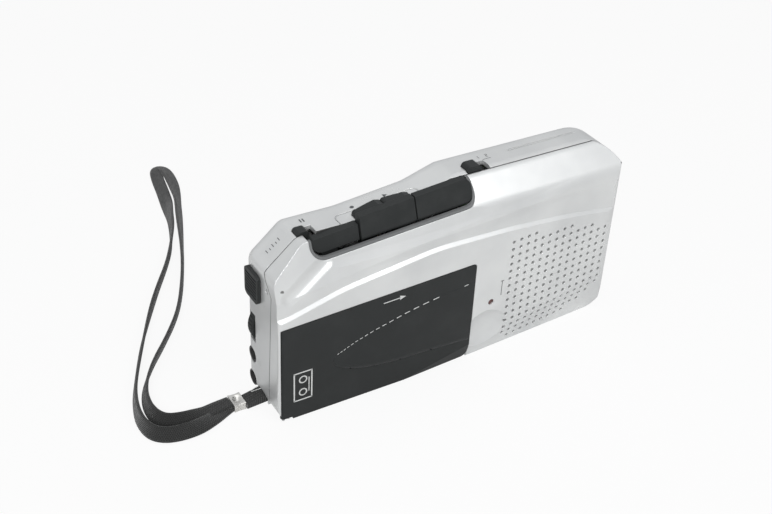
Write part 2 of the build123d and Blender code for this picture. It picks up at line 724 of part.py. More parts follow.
with BuildPart() as drive_belt:
    with BuildSketch(facing(depth(flywheel_front + flywheel_thickness / 2 + belt / 2))):
        with Locations((along(capstan_place), capstan_height)):
            Circle(flywheel_radius - groove_in_rim + gap + belt)
        with Locations((along(motor_place), motor_height)):
            Circle(pulley_radius - groove_in_rim + gap + belt)
        make_hull()
        with BuildSketch(mode=Mode.SUBTRACT):
            with Locations((along(capstan_place), capstan_height)):
                Circle(flywheel_radius - groove_in_rim + gap)
            with Locations((along(motor_place), motor_height)):
                Circle(pulley_radius - groove_in_rim + gap)
            make_hull()
    extrude(amount=belt)
finish(drive_belt, "drive_belt")

# Head plate, which slides down on the deck plate with the play key
plate_back = deck_front - fit
plate_front = plate_back - plate_thickness
with BuildPart() as head_plate:
    block(plate_left, plate_right, plate_front, plate_back, plate_low, plate_high)
    block(capstan_place - 1.2, capstan_place + 1.2, plate_front - roller_width - 1.2, plate_front,
          roller_height + roller_radius + 0.3, plate_high)
    rod(capstan_place, roller_height, 1.9, plate_front - 0.4, plate_back)
    rod(capstan_place, roller_height, 0.75, plate_front - roller_width - 1.2, plate_front)
    block(capstan_place - 0.75, capstan_place + 0.75, plate_front - roller_width - 1.2,
          plate_front - roller_width - 0.6, roller_height, plate_high)
    with BuildSketch(facing(depth(plate_back))):
        with Locations((along(capstan_place), capstan_height)):
            Circle(bearing_radius + 1.2)
    extrude(amount=plate_thickness, mode=Mode.SUBTRACT)
finish(head_plate, "head_plate")

with BuildPart() as pinch_roller:
    rod(capstan_place, roller_height, roller_radius, plate_front - roller_width - 0.45, plate_front - 0.55)
    rod(capstan_place, roller_height, 0.75 + fit, 0, deck_front, mode=Mode.SUBTRACT)
finish(pinch_roller, "pinch_roller")

with BuildPart() as play_head:
    block(tape_middle - head_width / 2, tape_middle + head_width / 2, plate_front - head_depth, plate_front,
          head_low, head_low + head_height)
    fillet(play_head.edges().filter_by(Axis.Y).group_by(Axis.Z)[0], 1.4)
finish(play_head, "play_head")

erase_place = tape_middle - 11.5
with BuildPart() as erase_head:
    block(erase_place - erase_width / 2, erase_place + erase_width / 2, plate_front - head_depth,
          plate_front, head_low, head_low + head_height - 1)
    fillet(erase_head.edges().filter_by(Axis.Y).group_by(Axis.Z)[0], 0.9)
finish(erase_head, "erase_head")

# Slide knob with ribs on the socket end
with BuildPart() as mode_knob:
    block(-knob_proud, -gap, knob_front, knob_front + knob_width, knob_low, knob_low + knob_height)
    fillet(mode_knob.edges().filter_by(Axis.X), 1.6)
    pitch = (knob_height - 2.4) / knob_ribs
    for rib in range(knob_ribs):
        height = knob_low + 1.2 + pitch * (rib + 0.5)
        block(-knob_proud - 1, -knob_proud + rib_depth, knob_front + 0.8, knob_front + knob_width - 0.8,
              height - pitch / 4, height + pitch / 4, mode=Mode.SUBTRACT)
    block(-gap - 0.1, wall + 0.6, knob_front + 2 + gap, knob_front + knob_width - 2.4 - gap,
          knob_low + 1, knob_low + knob_height - 3.4)
finish(mode_knob, "mode_knob")

with BuildPart() as mode_switch:
    block(wall + 0.9, wall + 4.6, end_board_depth + board_thickness, knob_front + knob_width - 2,
          knob_low - 0.4, knob_low + knob_height - 0.8)
finish(mode_switch, "mode_switch")

# Volume wheel and the control under it
with BuildPart() as volume_wheel:
    rod(wheel_place, wheel_height, wheel_radius, wheel_front, wheel_front + wheel_thickness)
    fillet(volume_wheel.edges().filter_by(GeomType.CIRCLE), 0.5)
    with BuildSketch(facing(depth(wheel_front + wheel_thickness))):
        with Locations((along(wheel_place), wheel_height)):
            with PolarLocations(wheel_radius + 0.1, 40):
                Rectangle(0.5, 0.45)
    extrude(amount=wheel_thickness, mode=Mode.SUBTRACT)
finish(volume_wheel, "volume_wheel")

with BuildPart() as volume_control:
    rod(wheel_place, wheel_height, 4.6, end_board_depth + board_thickness, wheel_front - gap)
finish(volume_control, "volume_control")

# Sockets
for name, y_distance, height, bore in (("earphone_socket", ear_depth, ear_height, ear_bore),
                                       ("power_socket", power_depth, power_height, power_bore)):
    with BuildPart() as socket:
        lengthwise(0.25, socket_length, y_distance, height, socket_radius)
        lengthwise(-1, socket_length - 1, y_distance, height, bore, mode=Mode.SUBTRACT)
        if name == "power_socket":
            lengthwise(1.6, socket_length - 0.5, y_distance, height, power_pin)
    finish(socket, name)

with BuildPart() as end_board:
    block(wall + 0.7, 14.0, end_board_depth, end_board_depth + board_thickness, end_board_low,
          end_board_high)
finish(end_board, "end_board")

with BuildPart() as microphone:
    lengthwise(wall + 0.1, wall + 3.4, mic_depth, mic_height, capsule_radius)
finish(microphone, "microphone")

with BuildPart() as lamp:
    rod(lamp_place, lamp_height, lamp_radius - fit, 0.35, wall + 2.2)
    rod(lamp_place, lamp_height, lamp_radius + 0.4, wall + 0.02, wall + 1.0)
finish(lamp, "lamp")

# Slides on the top of the case
with BuildPart() as pause_slide:
    block(pause_start + gap, pause_start + pause_length - pause_travel - gap, seam_top + gap,
          seam_top + pause_width - gap, dip_height - wall - 0.8, dip_height + slide_proud * 0.6)
    fillet(pause_slide.edges().filter_by(Axis.Y).group_by(Axis.Z)[-1], 1.0)
finish(pause_slide, "pause_slide")

with BuildPart() as speed_slide:
    block(speed_start + gap, speed_start + speed_length - speed_travel - gap, seam_top + gap,
          seam_top + speed_width - gap, case_height - wall - 0.8, case_height + slide_proud)
    fillet(speed_slide.edges().filter_by(Axis.Y).group_by(Axis.Z)[-1], 1.2)
finish(speed_slide, "speed_slide")

with BuildPart() as slide_switches:
    block(pause_start, pause_start + pause_length, seam_top + 0.3, seam_top + pause_width,
          dip_height - wall - 3.6, dip_height - wall - 0.9)
    block(speed_start, speed_start + speed_length, seam_top + 0.3, seam_top + speed_width,
          board_high - 2.4, case_height - wall - 0.9)
finish(slide_switches, "slide_switches")

# Battery room: two cells, their contacts, and the cover
cell_heights = [cell_foot + cell_radius, cell_foot + 3 * cell_radius + 0.2]
with BuildPart() as battery_cells:
    for row, height in enumerate(cell_heights):
        body_start = cell_start + (nub_length if row else 0)
        lengthwise(body_start, body_start + cell_length - nub_length, cell_depth, height, cell_radius)
        if row:
            lengthwise(cell_start, body_start + 0.1, cell_depth, height, nub_radius)
        else:
            lengthwise(body_start + cell_length - nub_length - 0.1, cell_start + cell_length, cell_depth,
                       height, nub_radius)
finish(battery_cells, "battery_cells")

with BuildPart() as battery_contacts:
    for height in cell_heights:
        block(cell_start - contact, cell_start, cell_depth - 3, cell_depth + 3, height - 3, height + 3)
    block(cell_start + cell_length, cell_start + cell_length + contact, cell_depth - 3, cell_depth + 3,
          cell_heights[0] - 3, cell_heights[1] + 3)
finish(battery_contacts, "battery_contacts")

with BuildPart() as battery_cover:
    add(form.part)
    block(cover_start, cover_end, back_room_depth + fit, case_depth + 1, cover_low, cover_high,
          mode=Mode.INTERSECT)
    for rib in range(5):
        height = (cover_low + cover_high) / 2 + (rib - 2) * 1.6
        block(cover_start + 4, cover_start + 10, case_depth - 0.3, case_depth + 1, height - 0.4, height + 0.4,
              mode=Mode.SUBTRACT)
finish(battery_cover, "battery_cover")

# Speaker on its seat ring
speaker_front = wall + 1.4 + 0.02
with BuildPart() as speaker_frame:
    rod(speaker_place, speaker_height, speaker_radius, speaker_front, speaker_front + 1.0)
    rod(speaker_place, speaker_height, speaker_radius - 1.6, speaker_front - 1, speaker_front + 0.7,
        mode=Mode.SUBTRACT)
    rod(speaker_place, speaker_height, magnet_radius - 1, speaker_front, speaker_front + 2, mode=Mode.SUBTRACT)
finish(speaker_frame, "speaker_frame")

with BuildPart() as speaker_cone:
    rod(speaker_place, speaker_height, speaker_radius - 1.6 - fit, speaker_front + 0.1, speaker_front + 0.5)
finish(speaker_cone, "speaker_cone")

with BuildPart() as speaker_magnet:
    rod(speaker_place, speaker_height, magnet_radius, speaker_front + 1.02, speaker_front + 1.9)
finish(speaker_magnet, "speaker_magnet")

# Main board with its parts
with BuildPart() as main_board:
    block(board_left, board_right, board_depth, board_depth + board_thickness, board_low, board_high)
    for place, height in screw_places[1:]:
        rod(place, height, post_radius + 0.4, board_depth - 1, board_depth + 2, mode=Mode.SUBTRACT)
finish(main_board, "main_board")

with BuildPart() as board_chips:
    for place, drop, size in ((78.0, 9.6, 8.0), (92.0, 7.6, 6.0), (104.0, 11.6, 5.0)):
        height = board_high - drop
        block(place - size / 2, place + size / 2, board_depth - 1.6, board_depth, height - size / 3,
              height + size / 3)
finish(board_chips, "board_chips")

with BuildPart() as board_capacitors:
    for place, drop, radius in ((86.0, 3.1, 2.0), (98.0, 2.6, 2.5), (98.0, 13.1, 2.0), (110.0, 8.6, 2.5)):
        rod(place, board_high - drop, radius, board_depth - 4.5, board_depth)
finish(board_capacitors, "board_capacitors")

# Case screws, all alike
with BuildPart() as case_screws:
    for place, height in screw_places:
        rod(place, height, screw_radius, screw_start, screw_seat + 0.1)
        rod(place, height, screw_head_radius, screw_seat, screw_seat + screw_head_height)
        block(place - 1.2, place + 1.2, screw_seat + screw_head_height - 0.5, screw_seat + 2, height - 0.22,
              height + 0.22, mode=Mode.SUBTRACT)
        block(place - 0.22, place + 0.22, screw_seat + screw_head_height - 0.5, screw_seat + 2, height - 1.2,
              height + 1.2, mode=Mode.SUBTRACT)
finish(case_screws, "case_screws")

# Strap bar, the strap's loop round it, the crimp and the free strap
with BuildPart() as strap_bar:
    rod(post_bar_place, post_bar_height, post_bar_radius, strap_depth - 3.4, strap_depth + 3.0)
finish(strap_bar, "strap_bar")

loop_outer = post_bar_radius + fit + 0.7
with BuildPart() as strap_loop:
    with BuildSketch(facing(depth(strap_depth + strap_width / 2))):
        with Locations((along(post_bar_place), post_bar_height)):
            Circle(loop_outer)
        with BuildLine():
            Polyline([(along(post_bar_place), post_bar_height + loop_outer),
                      (along(crimp_start + crimp_length), 2.1), (along(crimp_start + crimp_length), 0.5),
                      (along(post_bar_place), post_bar_height - loop_outer)], close=True)
        make_face()
        with Locations((along(post_bar_place), post_bar_height)):
            Circle(post_bar_radius + fit, mode=Mode.SUBTRACT)
    extrude(amount=strap_width)
finish(strap_loop, "strap_loop")

with BuildPart() as strap_crimp:
    block(crimp_start, crimp_start + crimp_length,
          strap_depth - crimp_width / 2 + 1.0, strap_depth + crimp_width / 2 + 1.0, 0, crimp_height)
    fillet(strap_crimp.edges().filter_by(Axis.X), 0.6)
finish(strap_crimp, "strap_crimp")


def lane_radii(points):
    """The largest arc that each corner of a lane has room for."""
    radii = []
    for before, here, after in zip(points, points[1:], points[2:]):
        come, go = Vector(*here) - Vector(*before), Vector(*after) - Vector(*here)
        turn = come.get_angle(go)
        radii.append(0.45 * min(come.length, go.length) / tan(radians(turn / 2)))
    return radii


with BuildPart() as wrist_strap:
    lane_length = 0
    for lane in (lane_left, lane_right):
        radii = lane_radii(lane)
        print("strap radii", [round(r, 1) for r in radii])
        with BuildSketch(Plane.XY):
            with BuildLine() as route:
                FilletPolyline([(along(d), y) for d, y in lane], radius=radii)
            trace(route.line, strap_width)
        extrude(amount=strap_thickness)
        lane_length += sum(edge.length for edge in route.line.edges())
    with Locations((along((lane_left[-1][0] + lane_right[-1][0]) / 2), lane_left[-1][1], 0)):
        Cylinder(bight_radius, strap_thickness, align=(Align.CENTER, Align.CENTER, Align.MIN))
    print("strap section times length", round(lane_length * strap_width * strap_thickness, 1),
          "solid", round(wrist_strap.part.volume, 1))
finish(wrist_strap, "wrist_strap")
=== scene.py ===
import bpy
from math import cos, pi, radians, sin, sqrt
from mathutils import Matrix, Vector
from mathutils.bvhtree import BVHTree


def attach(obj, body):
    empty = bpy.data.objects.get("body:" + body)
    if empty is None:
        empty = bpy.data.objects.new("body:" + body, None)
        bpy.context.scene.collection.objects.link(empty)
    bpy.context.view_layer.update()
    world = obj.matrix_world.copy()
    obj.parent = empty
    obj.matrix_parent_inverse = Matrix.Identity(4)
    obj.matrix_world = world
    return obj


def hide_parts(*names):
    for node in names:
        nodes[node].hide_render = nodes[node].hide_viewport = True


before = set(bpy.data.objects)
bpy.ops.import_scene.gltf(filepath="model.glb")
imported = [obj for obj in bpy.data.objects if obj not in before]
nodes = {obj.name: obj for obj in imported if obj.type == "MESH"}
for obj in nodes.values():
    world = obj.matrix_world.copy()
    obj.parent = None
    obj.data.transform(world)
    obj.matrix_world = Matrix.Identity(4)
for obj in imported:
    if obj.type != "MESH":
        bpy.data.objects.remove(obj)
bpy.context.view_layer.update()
scene = bpy.context.scene
scene.view_settings.view_transform = "Standard"
mm = 0.001
print("frame loaded")

# Where the case stands, in millimetres: the socket end and the front face
caseLeft = -59.4
caseFront = -11.0
caseLength = 120.0
chin = {"start": -9.0, "end": 18.0, "slope": 3.6 / 13.0}  # fold line across the lower front


def place(along, depth, height):  # millimetres from the socket end and the front, to metres
    return Vector(((caseLeft + along) * mm, (caseFront + depth) * mm, height * mm))


# Camera: angles in degrees, focal length in pixels of a frame that is 772 wide, the rest in millimetres
cameraSet = {"azimuth": -32.0, "elevation": 34.4, "roll": 2.94, "focal": 1215.0, "frameWidth": 772,
             "sensor": 36, "shiftX": 22.3, "shiftY": -8.1, "distance": 359.0, "aimAlong": 60, "aimHeight": 30}


def addCamera():
    azimuth, elevation, roll = (radians(cameraSet[k]) for k in ("azimuth", "elevation", "roll"))
    back = Vector((sin(azimuth) * cos(elevation), -cos(azimuth) * cos(elevation), sin(elevation)))
    right = Vector((cos(azimuth), sin(azimuth), 0))
    up = back.cross(right)
    right, up = right * cos(roll) + up * sin(roll), up * cos(roll) - right * sin(roll)
    middle = Vector((cameraSet["aimAlong"] + caseLeft, caseFront, cameraSet["aimHeight"]))
    eye = middle - right * cameraSet["shiftX"] - up * cameraSet["shiftY"] + back * cameraSet["distance"]
    data = bpy.data.cameras.new("camera")
    data.sensor_width = cameraSet["sensor"]
    data.lens = cameraSet["focal"] / cameraSet["frameWidth"] * cameraSet["sensor"]
    data.clip_start = 0.01
    camera = bpy.data.objects.new("camera", data)
    scene.collection.objects.link(camera)
    stand = Matrix((right, up, back)).transposed().to_4x4()
    stand.translation = eye * mm
    camera.matrix_world = stand
    scene.camera = camera


addCamera()


# Shader maths: a wire is one socket of a material
class Wire:
    def __init__(self, tree, socket):
        self.tree = tree
        self.socket = socket

    def work(self, kind, first, second=0.0):
        node = self.tree.nodes.new("ShaderNodeMath")
        node.operation = kind
        for entry, value in zip(node.inputs, (first, second)):
            if isinstance(value, Wire):
                self.tree.links.new(value.socket, entry)
            else:
                entry.default_value = value
        return Wire(self.tree, node.outputs[0])

    def __add__(self, other): return self.work("ADD", self, other)
    def __radd__(self, other): return self.work("ADD", other, self)
    def __sub__(self, other): return self.work("SUBTRACT", self, other)
    def __rsub__(self, other): return self.work("SUBTRACT", other, self)
    def __mul__(self, other): return self.work("MULTIPLY", self, other)
    def __rmul__(self, other): return self.work("MULTIPLY", other, self)
    def __truediv__(self, other): return self.work("DIVIDE", self, other)
    def __pow__(self, other): return self.work("POWER", self, other)
    def __abs__(self): return self.work("ABSOLUTE", self)
    def low(self, other): return self.work("MINIMUM", self, other)
    def high(self, other): return self.work("MAXIMUM", self, other)
    def sine(self): return self.work("SINE", self)
    def floor(self): return self.work("FLOOR", self)


class Finish:
    def __init__(self, name):
        self.material = bpy.data.materials.new(name)
        self.material.use_nodes = True
        self.tree = self.material.node_tree
        self.shader = self.tree.nodes["Principled BSDF"]
        self.output = self.tree.nodes["Material Output"]

    def node(self, kind, settings=None, sockets=None, out=0):
        made = self.tree.nodes.new(kind)
        for name, value in (settings or {}).items():
            setattr(made, name, value)
        for name, value in (sockets or {}).items():
            if isinstance(value, Wire):
                self.tree.links.new(value.socket, made.inputs[name])
            else:
                made.inputs[name].default_value = value
        return Wire(self.tree, made.outputs[out])

    def spot(self):  # object coordinates
        return self.node("ShaderNodeTexCoord", out=3)

    def split(self, vector):  # the three numbers of a vector
        made = self.tree.nodes.new("ShaderNodeSeparateXYZ")
        self.tree.links.new(vector.socket, made.inputs[0])
        return [Wire(self.tree, socket) for socket in made.outputs]

    def axes(self):  # object coordinates in millimetres
        return [part * 1000.0 for part in self.split(self.spot())]

    def noise(self, size, detail=2.0, rough=0.5):  # size in millimetres
        return self.node("ShaderNodeTexNoise", None, {"Vector": self.spot(), "Scale": 1000.0 / size,
                                                      "Detail": detail, "Roughness": rough})

    def streaks(self, turn, stretch, scale, detail):  # noise drawn out along one way
        spot = self.node("ShaderNodeMapping", None,
                         {"Vector": self.spot(), "Rotation": turn, "Scale": stretch})
        return self.node("ShaderNodeTexNoise", None, {"Vector": spot, "Scale": scale, "Detail": detail})

    def band(self, value, start, end, low=0.0, high=1.0):
        return self.node("ShaderNodeMapRange", {"interpolation_type": "SMOOTHSTEP"},
                         {"Value": value, "From Min": start, "From Max": end, "To Min": low, "To Max": high})

    def blend(self, factor, first, second):  # colours have sockets 6 and 7 and output 2 of a Mix node
        mix = self.tree.nodes.new("ShaderNodeMix")
        mix.data_type = "RGBA"
        for index, value in ((0, factor), (6, first), (7, second)):
            if isinstance(value, Wire):
                self.tree.links.new(value.socket, mix.inputs[index])
            elif index:
                mix.inputs[index].default_value = (*value, 1)
            else:
                mix.inputs[index].default_value = value
        return Wire(self.tree, mix.outputs[2])

    def bump(self, height, strength, distance, normal=None):  # distance in millimetres
        sockets = {"Height": height, "Strength": strength, "Distance": distance * mm}
        if normal:
            sockets["Normal"] = normal
        return self.node("ShaderNodeBump", None, sockets)

    def rounded(self, radius):  # softened edges, radius in millimetres
        return self.node("ShaderNodeBevel", {"samples": 4}, {"Radius": radius * mm})

    def set(self, **values):
        for name, value in values.items():
            socket = self.shader.inputs[name.replace("_", " ")]
            if isinstance(value, Wire):
                self.tree.links.new(value.socket, socket)
            else:
                socket.default_value = (*value, 1) if isinstance(value, tuple) else value
        return self.material


# Silver paint on the shells
silver = {"paint": (0.74, 0.75, 0.745), "shade": (0.64, 0.65, 0.65), "flake": (0.78, 0.78, 0.77),
          "grime": (0.30, 0.29, 0.27), "bare": (0.18, 0.18, 0.175), "cloudSize": 22.0, "flakeSize": 0.12,
          "grimeSize": 1.6, "metallic": 0.5, "roughness": 0.30, "edge": 0.35, "coat": 0.12,
          "coatRoughness": 0.3}
# the shells' joint, by depth and height: a dark line, in a groove that is a little wider
seamLine = {"path": [(7.0, -1.0), (4.4, 42.0), (9.2, 47.5), (9.2, 64.0)], "colour": (0.05, 0.05, 0.05),
            "dark": 0.88, "line": (0.09, 0.20), "groove": (0.05, 0.32), "deep": 9.0}
# spots of worn paint on the corners: along, depth, height and size
wornSpots = [(2.2, 2.0, 45.0, 0.55), (16.6, 2.6, 52.0, 0.5), (18.2, 2.4, 50.4, 0.35), (9.5, 2.0, 49.5, 0.3),
             (119.2, 3.0, 55.0, 1.1), (119.8, 4.2, 50.5, 0.9), (118.4, 3.2, 57.5, 0.8),
             (97.0, 3.4, 57.6, 0.18)]
# soft creases pressed into the front: a long ridge under the keys, a short valley by the slanted corner
creases = {"bend": 7.4e-4, "slope": -0.0290, "level": 47.8, "ridgeHeight": 0.40, "ridgeHalf": 2.5,
           "ridgeCurve": 1.15, "ridgeStart": (13.0, 24.0), "ridgeEnd": (90.0, 106.0),
           "valleyFrom": (3.7, 42.5), "valleyTo": (15.6, 50.0), "valleyDeep": 0.80, "valleyHalf": 2.7,
           "front": (7.0, 9.5)}


def besideLine(u, v, start, end):  # square of the distance from a straight line between two points
    (u0, v0), (u1, v1) = start, end
    length = sqrt((u1 - u0) ** 2 + (v1 - v0) ** 2)
    du, dv = (u1 - u0) / length, (v1 - v0) / length
    run = ((u - u0) * du + (v - v0) * dv).high(0.0).low(length)
    offU, offV = u - u0 - run * du, v - v0 - run * dv
    return offU * offU + offV * offV


def pressedCreases(f, x, y, z):
    along = x - caseLeft
    line = along * along * creases["bend"] + along * creases["slope"] + creases["level"]
    ridge = (1 - abs(z - line) / creases["ridgeHalf"]).high(0.0) ** creases["ridgeCurve"]
    ridge = ridge * f.band(along, *creases["ridgeStart"]) * f.band(along, *creases["ridgeEnd"], 1.0, 0.0)
    off = besideLine(along, z, creases["valleyFrom"], creases["valleyTo"])
    valley = (1 - off / creases["valleyHalf"] ** 2).high(0.0)
    start, end = creases["front"]
    front = f.band(y, caseFront + start, caseFront + end, 1.0, 0.0)
    return (ridge * creases["ridgeHeight"] - valley * valley * creases["valleyDeep"]) * front


def wornPaint(f, x, y, z):
    worn = None
    for along, depth, height, size in wornSpots:
        dx, dy, dz = x - (caseLeft + along), y - (caseFront + depth), z - height
        near = (dx * dx + dy * dy * 0.4 + dz * dz) ** 0.5 + f.noise(0.9, 4.0) * 1.6 * size
        mask = f.band(near, size * 1.45, size * 1.85, 1.0, 0.0)
        worn = mask if worn is None else worn.high(mask)
    return worn


def besideSeam(y, z):
    nearest = None
    path = [(caseFront + depth, height) for depth, height in seamLine["path"]]
    for start, end in zip(path, path[1:]):
        off = besideLine(y, z, start, end) ** 0.5
        nearest = off if nearest is None else nearest.low(off)
    return nearest


def silverPaint(name, seam=False, pressed=False):
    f = Finish(name)
    x, y, z = f.axes()
    cloud, flake = f.noise(silver["cloudSize"], 3.0), f.noise(silver["flakeSize"])
    grime = f.noise(silver["grimeSize"], 5.0, 0.65)
    colour = f.blend(f.band(cloud, 0.35, 0.75), silver["paint"], silver["shade"])
    colour = f.blend(f.band(flake, 0.55, 0.75, 0.0, 0.22), colour, silver["flake"])
    colour = f.blend(f.band(grime, 0.64, 0.80, 0.0, 0.10), colour, silver["grime"])
    colour = f.blend(wornPaint(f, x, y, z), colour, silver["bare"])
    rough = f.band(cloud, 0.3, 0.8, silver["roughness"] - 0.03, silver["roughness"] + 0.06)
    normal = f.rounded(silver["edge"])
    if pressed:
        normal = f.bump(pressedCreases(f, x, y, z), 1.0, 1.0, normal)
    height = f.noise(0.25) * 0.35 + f.noise(7.0) * 0.65
    if seam:
        off = besideSeam(y, z)
        colour = f.blend(f.band(off, *seamLine["line"], 1.0, 0.0) * seamLine["dark"], colour,
                         seamLine["colour"])
        height = height - f.band(off, *seamLine["groove"], seamLine["deep"], 0.0)
    return f.set(Base_Color=colour, Metallic=silver["metallic"], Roughness=rough,
                 Normal=f.bump(height, 0.35, 0.03, normal), Coat_Weight=silver["coat"],
                 Coat_Roughness=silver["coatRoughness"])


# Black plastic, with pale scuffs
black = {"plain": (0.021, 0.023, 0.023), "worn": (0.036, 0.038, 0.038), "roughness": 0.46, "edge": 0.18,
         "grain": 0.22, "specular": 0.22}


def blackPlastic(name, plain=black["plain"], worn=black["worn"], roughness=black["roughness"],
                 grain=black["grain"]):
    f = Finish(name)
    cloud = f.noise(9.0, 4.0, 0.6)
    scuff = f.streaks((0.3, 0.7, 0.4), (1.0, 1.0, 14.0), 260.0, 3.0)
    colour = f.blend(f.band(cloud, 0.4, 0.8, 0.0, 0.5), plain, worn)
    colour = f.blend(f.band(scuff, 0.66, 0.74, 0.0, 0.35), colour, worn)
    return f.set(Base_Color=colour, Roughness=f.band(cloud, 0.3, 0.75, roughness - 0.05, roughness + 0.07),
                 Specular_IOR_Level=black["specular"],
                 Normal=f.bump(f.noise(grain, 3.0, 0.6), 0.28, 0.03, f.rounded(black["edge"])))


# Small parts of metal, and moulded ones: boards, cells, lamp and rubber
small = {"edge": 0.12, "tarnish": 0.62}


def metal(name, colour, roughness, scratch=0.3, metallic=1.0):
    f = Finish(name)
    stain = f.noise(3.0, 4.0, 0.6)
    dark = tuple(c * small["tarnish"] for c in colour)
    lines = f.streaks((0.2, 0.1, 0.6), (1.0, 9.0, 1.0), 900.0, 4.0)
    return f.set(Base_Color=f.blend(f.band(stain, 0.45, 0.8, 0.0, 0.75), colour, dark), Metallic=metallic,
                 Roughness=f.band(stain, 0.3, 0.8, roughness - 0.06, roughness + 0.12),
                 Normal=f.bump(lines, scratch, 0.02, f.rounded(small["edge"])))


def moulded(name, colour, second, roughness, size=2.5, coat=0.0):
    f = Finish(name)
    cloud = f.noise(size, 4.0, 0.6)
    return f.set(Base_Color=f.blend(f.band(cloud, 0.4, 0.7), colour, second),
                 Roughness=f.band(cloud, 0.3, 0.8, roughness - 0.05, roughness + 0.08), Coat_Weight=coat,
                 Normal=f.bump(f.noise(0.3, 3.0), 0.2, 0.03, f.rounded(small["edge"])))


cellWrapSet = {"sleeve": (0.02, 0.02, 0.025), "label": (0.45, 0.30, 0.12), "scuff": (0.2, 0.2, 0.2),
               "labelFrom": (24.0, 24.2), "roughness": 0.32, "coat": 0.3, "edge": 0.3}


def cellWrap(name):
    f = Finish(name)
    label = f.band(f.axes()[0], *cellWrapSet["labelFrom"])
    colour = f.blend(label, cellWrapSet["sleeve"], cellWrapSet["label"])
    colour = f.blend(f.band(f.noise(1.5, 3.0), 0.55, 0.8, 0.0, 0.3), colour, cellWrapSet["scuff"])
    return f.set(Base_Color=colour, Roughness=cellWrapSet["roughness"], Coat_Weight=cellWrapSet["coat"],
                 Normal=f.rounded(cellWrapSet["edge"]))


# Woven tape of the strap: the weave follows the piece's own map, or the object's axes on the loop
weave = {"yarn": (0.030, 0.031, 0.030), "gap": (0.008, 0.008, 0.008), "lint": (0.075, 0.075, 0.070),
         "across": 9.0, "pitch": 0.62, "axesScale": 0.2128, "roughness": 0.86, "sheen": 0.35,
         "sheenRoughness": 0.5, "specular": 0.25}


def wovenTape(name, mapped=True):
    f = Finish(name)
    if mapped:
        u, v = f.split(f.node("ShaderNodeUVMap", {"uv_map": "weaveMap"}))[:2]
    else:
        x, y = f.axes()[:2]
        u, v = y * weave["axesScale"], x
    column = u * weave["across"]
    row = v / weave["pitch"] + f.noise(6.0, 1.0) * 0.5
    ribs = (column * 2 * pi).sine()
    steps = (row * 2 * pi + column.floor() * pi).sine()
    height = ribs * 0.35 + steps * 0.65
    fuzz = f.noise(0.5, 6.0, 0.7)
    # painted shade: the low places between the yarns are darkened
    colour = f.blend(f.band(height, -0.7, 0.5), weave["gap"], weave["yarn"])
    colour = f.blend(f.band(fuzz, 0.58, 0.78, 0.0, 0.5), colour, weave["lint"])
    return f.set(Base_Color=colour, Roughness=weave["roughness"], Sheen_Weight=weave["sheen"],
                 Sheen_Roughness=weave["sheenRoughness"], Specular_IOR_Level=weave["specular"],
                 Normal=f.bump(height + fuzz * 0.6, 0.6, 0.12))


# ink for printed marks, also used as painted shade for a dimple and a groove
def inkAndShade(name, colour, roughness=0.5):
    f = Finish(name)
    wear = f.noise(0.6, 4.0, 0.7)
    rubbed = tuple(c * 0.72 + 0.03 for c in colour)
    return f.set(Base_Color=f.blend(f.band(wear, 0.45, 0.85, 0.0, 0.55), colour, rubbed),
                 Roughness=roughness)


# The finish of each part that shows as it was built
finishes = [
    (silverPaint("silverFront", seam=True, pressed=True), "front_shell"),
    (silverPaint("silverBack", seam=True), "back_shell"),
    (silverPaint("silverCover"), "battery_cover"),
    (blackPlastic("pocketLip", (0.155, 0.160, 0.162), (0.22, 0.225, 0.225), 0.38), "key_surround"),
    (blackPlastic("lidPlastic", (0.020, 0.022, 0.022), (0.032, 0.034, 0.034), 0.42), "cassette_lid"),
    (blackPlastic("keyPlastic"), "stop_key rewind_key fast_forward_key record_key play_key pause_slide "
                                 "speed_slide key_frame mode_knob volume_wheel"),
    (blackPlastic("innerPlastic", (0.045, 0.045, 0.045), (0.08, 0.08, 0.08), 0.5),
     "slide_switches mode_switch earphone_socket power_socket supply_spindle take_up_spindle"),
    (moulded("gearPlastic", (0.62, 0.60, 0.54), (0.50, 0.48, 0.43), 0.4), "idler_gear"),
    (metal("plateSteel", (0.56, 0.57, 0.58), 0.32),
     "lid_hinge_pin capstan strap_bar head_plate deck_plate speaker_frame motor case_screws "
     "battery_contacts"),
    (moulded("ferrite", (0.05, 0.05, 0.055), (0.08, 0.08, 0.08), 0.6), "speaker_magnet"),
    (metal("headShield", (0.66, 0.65, 0.62), 0.2), "play_head"),
    (moulded("eraseHead", (0.12, 0.12, 0.12), (0.2, 0.2, 0.2), 0.35), "erase_head"),
    (metal("controlCan", (0.5, 0.5, 0.48), 0.35), "volume_control"),
    (metal("capsuleCan", (0.62, 0.6, 0.55), 0.3), "microphone"),
    (metal("turnedBrass", (0.72, 0.52, 0.25), 0.25), "flywheel motor_pulley capstan_bearing"),
    (moulded("rubberBlack", (0.022, 0.022, 0.022), (0.04, 0.04, 0.04), 0.75), "pinch_roller drive_belt"),
    (moulded("laminate", (0.10, 0.20, 0.07), (0.13, 0.25, 0.10), 0.4, 4.0, 0.2), "main_board end_board"),
    (moulded("chipBlack", (0.02, 0.02, 0.02), (0.035, 0.035, 0.035), 0.55), "board_chips"),
    (moulded("sleeveBlue", (0.03, 0.05, 0.16), (0.04, 0.07, 0.2), 0.35), "board_capacitors"),
    (cellWrap("cellWrap"), "battery_cells"),
    (moulded("lampLens", (0.10, 0.035, 0.03), (0.06, 0.02, 0.02), 0.16, 1.0, 0.5), "lamp"),
    (moulded("conePaper", (0.035, 0.035, 0.033), (0.06, 0.058, 0.055), 0.85, 1.2), "speaker_cone"),
    (wovenTape("tapeLoop", mapped=False), "strap_loop"),
]
for material, names in finishes:
    for name in names.split():
        mesh = nodes[name].data
        mesh.materials.clear()
        mesh.materials.append(material)
print("finishes made")


# Shared modelling steps
def selectOnly(thing=None):
    bpy.ops.object.select_all(action="DESELECT")
    if thing:
        thing.select_set(True)
        bpy.context.view_layer.objects.active = thing


